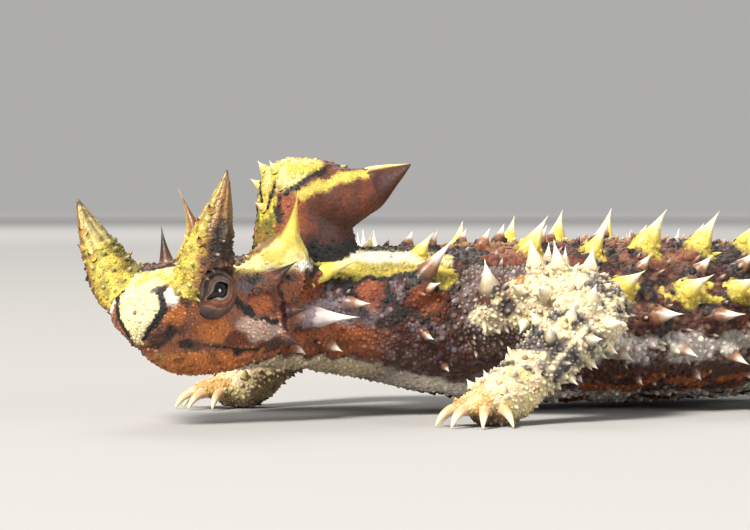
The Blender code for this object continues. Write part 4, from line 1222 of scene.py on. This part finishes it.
def sown():  # where the spikes, tubercles and granules stand
    spots, facing, form = candidates(skin, skinPlace, sowing["candidates"], sowing["seed"])
    free = freeOfPieces(spots)
    spots, facing, form = spots[free], facing[free], form[free]
    draw = np.random.default_rng(sowing["sizeSeed"])
    step, wide = stepAt(spots, form), kindAt("spikes", form)
    onBack, onHead = (form == formNames.index(name) for name in ("back", "head"))
    wide = wide * np.where(onBack, 1 + 1.2 * neckward(spots) + (facing[:, 2] < -0.6), 1)
    bare = (headLocal(spots)[:, 0] > -6) & onHead
    smooth = smoothAt(spots) & ~onBack
    bare |= (spots[:, 2] < 1.6) | (onBack & (facing[:, 2] < -0.85)) | smooth
    made, cells = {}, {}
    left = np.arange(len(spots))
    for kind, pool, size, clearance, foot in (
        ("spike", sowing["spikes"], 12, wide * 0.5, 0.42 + 0 * step),
        ("tubercle", sowing["tubercles"], 2.4, step * 1.2, step * 0.82),
        ("granule", len(spots), footCell, step * 0.47, step * 0.47),
    ):
        chosen, left = left[:pool], left[pool:]
        if kind != "granule":
            chosen = chosen[~(bare if kind == "spike" else smooth)[chosen]]
        radii = clearance[chosen] * draw.uniform(0.85, 1.12, len(chosen))
        trial = dict(cells) if kind == "granule" else {}
        kept = chosen[spread(spots[chosen], radii, trial, size)]
        if kind == "tubercle":
            kept = kept[spread(spots[kept], foot[kept], {k: list(v) for k, v in cells.items()}, footCell)]
        for i, cell in zip(kept, cellsOf(spots[kept], footCell).tolist()):
            cells.setdefault(tuple(cell), []).append((*spots[i].tolist(), float(foot[i])))
        made[kind] = (spots[kept], facing[kept], form[kept])
        print(kind, len(kept))
    return made


def sprout(prefix, crop, shape, profile, sizes, tone, seed):  # one kind, parted into pieces by region
    spots, facing, form = crop
    place = Places(spots)
    colour = markingsAndPaintedLight(place)
    draw = np.random.default_rng(seed)
    onHead = place.on("head") | place.on("horn") | place.on("knob")
    onLimb = place.on("limb") | place.on("palm") | place.on("toe")
    rear = (spots[:, 0] >= sowing["rear"]) & (prefix == "granules")
    body = ~onHead & ~onLimb
    groups = {"head_left": onHead & (spots[:, 1] < 0), "head_right": onHead & (spots[:, 1] >= 0),
              "limbs": onLimb, "front": body & ~rear, "rear": body & rear}
    pieces = []
    profiles = {"limbs": peak, "front": knobbly} if prefix == "tubercles" else {"limbs": knobbly}
    for n, (name, chosen) in enumerate(groups.items()):
        count, pale = int(chosen.sum()), 0.3 * (name == "limbs")
        if not count:
            continue
        radii, heights, tilt = sizes(draw, spots[chosen], form[chosen], count)
        base = colour[chosen] * draw.uniform(0.8, 1.2, (count, 1)) * draw.uniform(0.93, 1.07, (count, 3))
        base = np.clip(base, 0.003, 0.95)
        aims = unit(facing[chosen] + draw.normal(0, tilt, (count, 3)) + np.array((0.25, 0, 0)) * (tilt > 0.1))
        sunk = heights * 0.25
        roots = spots[chosen] - aims * sunk[:, None]

        # on the limbs the granules' tips are painted whiter, as painted highlights
        def shade(z, base=base, pale=pale):
            paintedTipHighlight = (pale * z**2)[None, :, None]
            return tone(base, z) * (1 - paintedTipHighlight) + tones["white"] * paintedTipHighlight

        bends = np.array((1.0, 0, 0)) * heights[:, None] * 0.12
        piece = plant(f"{prefix}_{name}", shape, roots, aims, radii, heights + sunk, bends, shade,
                      place.unwrap[chosen], profiles.get(name, profile), seed=seed + n)
        pieces.append(piece)
        print(piece.name, count, sum(len(f.vertices) - 2 for f in piece.data.polygons))
    return pieces


def granuleSizes(draw, spots, form, count):
    step, high = stepAt(spots, form), kindAt("high", form)
    high = high * np.where(smoothAt(spots) & (kindAt("spikes", form) > 5), 0.35, 1)
    return step * draw.uniform(0.5, 0.6, count), step * 0.5 * high * draw.uniform(0.7, 1.4, count), 0.07


def tubercleSizes(draw, spots, form, count):
    step, high = stepAt(spots, form), kindAt("high", form)
    radii = step * draw.uniform(0.76, 0.96, count)
    return radii, step * (0.25 + 0.75 * high) * draw.uniform(0.8, 1.3, count), 0.12


def spikeSizes(draw, spots, form, count):
    step = stepAt(spots, form)
    tall = draw.uniform(0.6, 1.4, count) * (0.4 + 0.8 * step) * (1 - 0.4 * (spots[:, 2] < 5))
    return draw.uniform(0.36, 0.5, count) * (0.6 + 0.6 * step), tall, 0.16


# painted shade and light: each granule and tubercle is painted darker at its foot and lighter at its crown
def granulePaintedShadeAndLight(base, z):
    return base[:, None] * (0.5 + 0.62 * z)[None, :, None]


# painted shade at a spike's foot, which is darker, and the spike's own pale tip above
def spikePaintedShadeAndPaleTip(base, z):
    share = (0.5 * fade(z, 0.4, 0.95))[None, :, None]
    return base[:, None] * (0.6 + 0.3 * z)[None, :, None] * (1 - share) + tones["white"] * share


crops = sown()
coat = sprout("granules", crops["granule"], template((0.5,), 6), dome, granuleSizes, granulePaintedShadeAndLight, 20)
coat += sprout("tubercles", crops["tubercle"], template((0.3, 0.65), 7), dome, tubercleSizes, granulePaintedShadeAndLight, 30)
coat += sprout("spikes", crops["spike"], template((0.2, 0.45, 0.7), 6), peak, spikeSizes, spikePaintedShadeAndPaleTip, 40)


def tipProfile(z):  # sunk in the skin's cone below, just proud of it above
    return coneProfile(z) * (0.86 + 0.24 * fade(z, 0.12, 0.3))


def spineTone(spine, base):  # colours of a spine's foot, middle and tip
    node, height, up = spine["node"], spine["height"], spine["root"][2]
    if node.startswith(("upper", "fore", "hand", "thigh", "shin", "foot")):
        return base, tones["cream"] * 0.5 + base * 0.5, tones["white"]
    if node.startswith("horn"):
        return base, tones["ochre"], tones["umber"]
    if node == "head":
        return base * 0.8, tones["brown"], tones["umber"]
    if node == "nape_knob":
        return base, tones["straw"], tones["cream"]
    if height > 5 and up > 12.5 and node == "neck":
        return tones["yellow"], tones["yellow"], tones["paleYellow"]
    if node == "neck" and height > 5:
        return tones["lavender"], tones["paleGrey"], tones["white"]
    if spine["bright"]:
        return tones["yellow"] * 0.9, tones["yellow"], tones["cream"]
    return base * 0.8, tones["tan"] * 0.8 + base * 0.2, tones["white"]


def recolour(piece, numbers, size):  # the fins carry the markings of the skin below them
    layer = piece.data.color_attributes["markingsAndPaintedLight"].data
    rgba = np.zeros(len(piece.data.vertices) * 4)
    layer.foreach_get("color", rgba)
    rgba, points = rgba.reshape(-1, 4), coordinates(piece.data)
    inward = fade(-normals(piece.data)[:, 1] * np.sign(points[:, 1]), -0.25, 0.2)[:, None] * 0.85
    for n in numbers:
        span = slice(n * size, (n + 1) * size)
        rgba[span, :3] = markingsAndPaintedLight(Places(points[span])) * (1 - inward[span]) + tones["rust"] * inward[span]
    layer.foreach_set("color", rgba.ravel())


def spinePieces():
    groups = {"spines_body": ("torso", "tail", "neck", "nape"), "spines_head": ("head", "horn"),
              "spines_limbs": ("upper", "fore", "hand", "thigh", "shin", "foot")}
    shape = template((0.1, 0.2, 0.3, 0.42, 0.55, 0.7, 0.86), 9)
    pieces = []
    for n, (name, starts) in enumerate(groups.items()):
        group = [spine for spine in spines if spine["node"].startswith(starts)]
        roots = np.array([spine["root"] for spine in group])
        place = Places(roots)
        under = markingsAndPaintedLight(place)
        shades = [spineTone(spine, base) for spine, base in zip(group, under)]
        foot, middle, tip = (np.array([shade[i] for shade in shades]) for i in range(3))

        def shade(z, foot=foot, middle=middle, tip=tip):
            first, second = (fade(z, low, high)[None, :, None] for low, high in ((0.1, 0.4), (0.4, 0.7)))
            colour = foot[:, None] * (1 - first) + middle[:, None] * first
            return colour * (1 - second) + tip[:, None] * second

        aims = np.array([spine["aim"] for spine in group])
        radii, heights = (np.array([spine[k] for spine in group]) for k in ("radius", "height"))
        bends = np.array([spine["sweep"] for spine in group])
        bows = np.array([spine["bow"] for spine in group])[:, None]
        sharp = np.array([[spine["sharp"]] for spine in group])
        pieces.append(plant(name, shape, roots, aims, radii, heights, bends, shade, place.unwrap, tipProfile,
                            ridges=0.07, seed=50 + n, sharp=sharp, bows=bows))
        recolour(pieces[-1], [i for i, spine in enumerate(group) if spine["mound"]], len(shape[0]))
        print(name, len(group))
    return pieces


spineParts = spinePieces()

# Horns, the nape's two long points, eyelids, eyes and claws.

hornSize = {"rings": 100, "sides": 80, "keels": 9, "keelDepth": 0.1, "base": 0.2, "proud": 0.2}


def surface(name, rings, colours):  # a finished piece over rows of points, with a colour for each
    mesh = tube(rings)
    piece = finished(name, mesh)
    tree = treeOf(rings.reshape(-1, 3))
    match = [tree.find(v.co)[1] for v in piece.data.vertices]
    setColours(piece.data, colours.reshape(-1, 3)[match])
    return piece


def makeHorn(side):
    form, out = horns[side], 1 if side == "left" else -1
    s = np.linspace(form.length * hornSize["base"], form.length, hornSize["rings"])[:, None]
    angle = 360 * np.arange(hornSize["sides"])[None] / hornSize["sides"]
    share = s / form.length
    keels = np.cos(np.radians(angle) * hornSize["keels"] + 0.5 * np.sin(s * 0.9))
    lump = np.array([[noise.noise(Vector(p) * 1.3) for p in row] for row in form.at(s, angle)])
    fine = np.array([[noise.noise(Vector(p) * 4.5) for p in row] for row in form.at(s, angle)])
    grow = hornSize["keelDepth"] * keels * np.sin(pi * np.clip(share * 1.05, 0, 1))
    grow = grow + (0.38 * lump + 0.34 * fine) * (1 - share) ** 0.8
    emerging = fade(share, hornTop - 0.1, hornTop + 0.06)
    grow = grow + hornSize["proud"] * emerging * (1 - share) - 0.35 * (1 - emerging)
    turn = ((angle * out + 180) % 360 - 180 + 0 * s).ravel()
    colours = hornColours((share + 0 * angle).ravel(), turn, lump.ravel(), keels.ravel())
    return surface(f"horn_{side}", form.at(s, angle, grow), colours)


def makeKnobSpines():
    pieces = []
    for side, form in knobSpines.items():
        s = np.linspace(form.length * 0.5, form.length, 26)[:, None]
        angle = 360 * np.arange(28)[None] / 28
        share = s / form.length
        keels = np.cos(np.radians(angle) * 6)
        grow = (0.07 * keels + 0.3 * fade(share, 0.55, 0.72)) * (1 - share)
        grow = grow - 0.25 * (1 - fade(share, 0.5, 0.66))
        rings = form.at(s, angle, grow)
        turn = ((angle + 180) % 360 - 180 + 0 * s).ravel()
        rise = (share + 0 * angle).ravel()
        paint = Paint(rise.size, "darkRed")
        paint.lay("brown", fade(rise, 0.6, 0.9))
        paint.lay("yellow", 1 - fade(abs(turn), 28, 50))
        paint.lay("umber", fade(rise, 0.9, 1.0) * 0.5)
        pieces.append(surface(f"nape_point_{side}", rings, paint.colour))
    return pieces


lidSize = {"opening": 0.86, "outer": 2.55, "crest": 1.78, "frontCorner": 1.0, "backCorner": 0.25, "folds": 3,
           "foldRise": 0.075, "lowerSwell": 0.16, "longer": 0.16}


def makeLids(side):  # rolls of skin round the eye, out from the slit's rim to the socket
    centre, facing = eyeAxes[side]
    front = unit(np.array((1.0, 0, -0.42)))  # towards the slit's front corner, which lies low
    front = unit(front - facing * (front @ facing))
    low = np.cross(facing, front)
    low = low if low[2] < 0 else -low
    turn = 2 * pi * np.arange(64) / 64
    near = np.minimum(turn, 2 * pi - turn)
    opening = lidSize["opening"] * (1 - 0.12 * abs(np.sin(turn)))
    opening = opening + lidSize["frontCorner"] * np.exp(-((near / 0.24) ** 2))
    opening = opening + lidSize["backCorner"] * np.exp(-(((near - pi) / 0.3) ** 2))
    flat = np.cos(turn)[:, None] * front + np.sin(turn)[:, None] * low
    rings, depths = [], []
    for t, tuck in [(0.0, 0.4), (0.0, 0.12), *((t, 0.0) for t in np.linspace(0.02, 1, 30))]:
        wide = opening + (lidSize["outer"] - opening) * t
        rise = lidSize["crest"] * np.sqrt(1 - (np.minimum(wide, 2.54) / 2.58) ** 2)
        wide = wide * (1 + lidSize["longer"] * t * abs(np.cos(turn)))
        fold = lidSize["foldRise"] * np.cos(2 * pi * lidSize["folds"] * t) * (1 - 0.6 * t)
        swell = lidSize["lowerSwell"] * np.sin(pi * t) * fade(np.sin(turn), -0.2, 0.9)
        ripple = 0.03 * np.sin(turn * 19 + 12 * t) * np.sin(pi * t) + 0.02 * np.sin(turn * 31 - 9 * t)
        height = rise + fold + swell + ripple - tuck
        rings.append(centre + facing * height[:, None] + flat * wide[:, None])
        depths.append(t)
    rings = np.array(rings)
    depth, turns = np.repeat(depths, len(turn)), np.tile(turn, len(depths))
    stripes = np.sin(turns * 8 + 4 * depth)
    paint = Paint(depth.size, "brown")
    high = fade(-np.sin(turns), -0.1, 0.4)
    fold = np.cos(2 * pi * lidSize["folds"] * depth)
    paint.lay("orange", (1 - high) * strip(depth, 0.45, 0.2, 0.12) * 0.4)
    paint.lay("grey", (1 - high) * strip(depth, 0.75, 0.12, 0.1) * 0.5)
    paint.lay("tan", high * 0.5)
    paint.lay("grey", high * strip(depth, 0.55, 0.35, 0.1) * 0.6)
    paint.lay("umber", fade(stripes, 0.3, 0.8) * 0.4)
    # painted shade: black in the troughs of the folds
    paint.lay("black", strip(fold, -1, 0.3, 0.2) * 0.4)
    paint.lay("blush", strip(depth, 0.1, 0.05, 0.03) * 0.6)
    # painted shade: dark in the crease round the lids' outer edge
    paint.lay("umber", fade(depth, 0.85, 0.97) * 0.7)
    # painted shade: black on the rim tucked into the slit
    paint.lay("black", 1 - fade(depth, 0.01, 0.05))
    return surface(f"lids_{side}", inHead(rings.reshape(-1, 3)).reshape(rings.shape), paint.colour)


def makeEye(side):
    centre, facing = eyeAxes[side]
    mesh = bmesh.new()
    bmesh.ops.create_uvsphere(mesh, u_segments=40, v_segments=28, radius=eyeSize["radius"])
    way = Vector(facing).to_track_quat("Z", "Y").to_matrix().to_4x4()
    points = np.array([v.co for v in mesh.verts])
    polar = np.degrees(np.arccos(np.clip(points[:, 2] / eyeSize["radius"], -1, 1)))
    bulge = 1 + 0.035 * np.exp(-((polar / 24) ** 4))
    turned = moved(np.array(way), points * bulge[:, None]) + centre
    for v, place in zip(mesh.verts, inHead(turned)):
        v.co = place
    bmesh.ops.recalc_face_normals(mesh, faces=mesh.faces)
    piece = finished(f"eye_ball_{side}", mesh)
    setColours(piece.data, np.tile(tones["black"] * 0.25, (len(points), 1)))
    return piece


def makeClaws(limb, side):
    foot = f"{limbSize[limb]['nodes'][2]}_{side}"
    rings = [claw.rings(0.15, claw.length, 16, 14) for _, claw in digits[limb, side]]
    piece = finished(f"claws_{foot}", joined([tube(ring) for ring in rings]))
    points = coordinates(piece.data)
    paint = Paint(len(points), "cream")
    paint.lay("amber", fade(points[:, 2], 0.9, 1.9) * 0.6)
    setColours(piece.data, paint.colour)
    return piece


hornParts = {side: makeHorn(side) for side in horns}
napePoints = makeKnobSpines()
lidParts = {side: makeLids(side) for side in eyeAxes}
eyeParts = {side: makeEye(side) for side in eyeAxes}
clawParts = [makeClaws(*key) for key in limbJoints]
print("horns, eyes and claws made")

# Finish of every surface.


class Wire:  # a socket on which sums add Math nodes
    def __init__(self, tree, socket):
        self.tree, self.socket = tree, socket

    def node(self, kind, settings=None, inputs=None, output=0):
        made = self.tree.nodes.new(kind)
        for name, value in (settings or {}).items():
            setattr(made, name, value)
        for name, value in (inputs or {}).items():
            if isinstance(value, Wire):
                self.tree.links.new(value.socket, made.inputs[name])
            else:
                made.inputs[name].default_value = value
        return Wire(self.tree, made.outputs[output])

    def math(self, operation, other):
        return self.node("ShaderNodeMath", {"operation": operation}, {0: self, 1: other})

    def __add__(self, other):
        return self.math("ADD", other)

    def __mul__(self, other):
        return self.math("MULTIPLY", other)

    def blend(self, mode, factor, first, second):
        return self.node("ShaderNodeMix", {"data_type": "RGBA", "blend_type": mode},
                         {"Factor": factor, 6: first, 7: second}, 2)


def newFinish(name, settings):
    material = bpy.data.materials.new(name)
    material.use_nodes = True
    tree = material.node_tree
    shader = tree.nodes["Principled BSDF"]
    for socket, value in settings.items():
        shader.inputs[socket].default_value = value
    place = Wire(tree, tree.nodes.new("ShaderNodeTexCoord").outputs["Object"])
    return material, tree, shader, place


def join(tree, wire, shader, socket):
    tree.links.new(wire.socket, shader.inputs[socket])


finishes = {
    "hide": (0.62, 0.4, 1500, 0.28, 0.6, 12e-5, 0.3),
    "scales": (0.66, 0.35, 2200, 0.2, 0.35, 6e-5, 0.3),
    "keratin": (0.42, 0.5, 1800, 0.22, 0.4, 8e-5, 0.25),
    "claw": (0.3, 0.5, 1500, 0.15, 0.2, 5e-5, 0.2),
    "eyelid": (0.5, 0.5, 3500, 0.25, 0.5, 6e-5, 0.3),
    "eye": (0.05, 0.3, 900, 0.1, 0.0, 1e-5, 0.02),
}  # roughness, shine, grain in cells a metre, its contrast, bump, bump's depth in metres, patchiness


def markedFinish(name):  # the markings and their painted shade and light, with a fine grain in their tone, roughness and relief
    rough, shine, fine, contrast, bump, deep, patchy = finishes[name]
    settings = {"Roughness": rough, "Specular IOR Level": shine, "Coat Weight": 0.5 * (name == "eye")}
    material, tree, shader, place = newFinish(name, settings)
    mark = place.node("ShaderNodeAttribute", {"attribute_name": "markingsAndPaintedLight"})
    speckle = {"Vector": place, "Scale": fine, "Detail": 4.0, "Roughness": 0.6}
    grain = place.node("ShaderNodeTexNoise", {}, speckle)
    span = {"From Min": 0.3, "From Max": 0.7, "To Min": 1 - contrast, "To Max": 1 + contrast}
    ramp = place.node("ShaderNodeMapRange", {}, {"Value": grain, **span})
    tone = place.node("ShaderNodeVectorMath", {"operation": "SCALE"}, {0: mark, "Scale": ramp})
    cells = place.node("ShaderNodeTexVoronoi", {}, {"Vector": place, "Scale": fine * 1.4})
    relief = {"Height": grain * 0.5 + cells * 0.6, "Strength": bump, "Distance": deep}
    join(tree, tone, shader, "Base Color")
    join(tree, grain * patchy + (rough - patchy * 0.5), shader, "Roughness")
    join(tree, place.node("ShaderNodeBump", {}, relief), shader, "Normal")
    return material


skin.data.materials.clear()
wearers = {"hide": [skin], "scales": coat, "claw": clawParts, "eyelid": lidParts.values(),
           "keratin": (*spineParts, *hornParts.values(), *napePoints), "eye": eyeParts.values()}
for name, pieces in wearers.items():
    finish = markedFinish(name)
    for piece in pieces:
        piece.data.materials.append(finish)

skinNodes = ["head", "jaw", "neck", "torso", "tail_root", "tail_middle", "tail_tip", "nape_knob"]
for limb, side in limbJoints:
    skinNodes += [f"{name}_{side}" for name in limbSize[limb]["nodes"]]


def settle(piece, slot, *nodes):
    piece.data.transform(toFrame)
    points = coordinates(piece.data)
    points[:, 2] = np.maximum(points[:, 2], 0)  # nothing goes through the floor
    piece.data.vertices.foreach_set("co", points.ravel())
    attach(piece, "root")
    if nodes:
        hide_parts(*nodes)


settle(skin, "skin", *skinNodes)
for coatPiece in coat:
    settle(coatPiece, "limb" if coatPiece.name.endswith("limbs") else "skin")
for piece in (*spineParts, *napePoints, *clawParts):
    settle(piece, "horn")
for side in eyeAxes:
    settle(hornParts[side], "horn", f"horn_{side}")
    settle(lidParts[side], "skin")
    settle(eyeParts[side], "eye", f"eye_{side}")

# Floor, lights and camera.

floorMesh = bmesh.new()
bmesh.ops.create_grid(floorMesh, x_segments=2, y_segments=2, size=12)
floor = finished("floor", floorMesh)
matt = {"Roughness": 1.0, "Specular IOR Level": 0.0}
floorFinish, floorTree, floorShader, floorPlace = newFinish("floor", matt)
away = floorPlace.node("ShaderNodeVectorMath", {"operation": "LENGTH"}, {0: floorPlace}, 1)
far = away.node("ShaderNodeMapRange", {}, {"Value": away, "From Min": 1.4, "From Max": 6.5})  # metres
near, distant = (0.34, 0.335, 0.33, 1), (0.97, 0.97, 0.97, 1)
join(floorTree, far.blend("MIX", far, near, distant), floorShader, "Base Color")
floor.data.materials.append(floorFinish)

world = bpy.data.worlds.new("world")
bpy.context.scene.world = world
world.use_nodes = True
sky = world.node_tree.nodes["Background"]
sky.inputs["Color"].default_value = (0.94, 0.93, 0.92, 1)
sky.inputs["Strength"].default_value = 0.45
bpy.context.scene.view_settings.view_transform = "Standard"

lights = {
    "key": {"at": (-1.75, -0.96, 1.64), "size": 0.64, "power": 164, "colour": (1, 0.96, 0.89)},
    "fill": {"at": (1.3, -2.3, 0.6), "size": 0.9, "power": 38, "colour": (0.95, 0.97, 1)},
    "rim": {"at": (0.69, 2.0, 1.96), "size": 1.4, "power": 48, "colour": (1, 0.98, 0.95)},
}
for lightName, light in lights.items():
    lamp = bpy.data.lights.new(lightName, "AREA")
    lamp.energy, lamp.size, lamp.color = light["power"], light["size"], light["colour"]
    made = bpy.data.objects.new(lightName, lamp)
    bpy.context.scene.collection.objects.link(made)
    made.location = light["at"]
    aim = Vector((-0.03, 0, 0.012)) - Vector(light["at"])
    made.rotation_euler = aim.to_track_quat("-Z", "Y").to_euler()

view = {"azimuth": -30, "elevation": 1, "distance": 0.350, "lens": 168, "sensor": 36,
        "mark": (-54.0, -4.6, 13.9), "markPixel": (175, 287), "frame": (750, 530)}  # mark: the left eye
a, e = radians(view["azimuth"]), radians(view["elevation"])
ahead = Vector((-sin(a) * cos(e), cos(a) * cos(e), -sin(e)))
across = Vector((cos(a), sin(a), 0))
upward = across.cross(ahead)
pixel = view["sensor"] / view["lens"] * view["distance"] / view["frame"][0]
target = Vector(view["mark"]) * mm + shift
target += across * (view["frame"][0] / 2 - view["markPixel"][0]) * pixel
target += upward * (view["markPixel"][1] - view["frame"][1] / 2) * pixel
camera = bpy.data.objects.new("camera", bpy.data.cameras.new("camera"))
camera.data.lens, camera.data.sensor_width = view["lens"], view["sensor"]
camera.data.clip_start = 0.01
bpy.context.scene.collection.objects.link(camera)
camera.location = target - ahead * view["distance"]
camera.rotation_euler = ahead.to_track_quat("-Z", "Y").to_euler()
bpy.context.scene.camera = camera
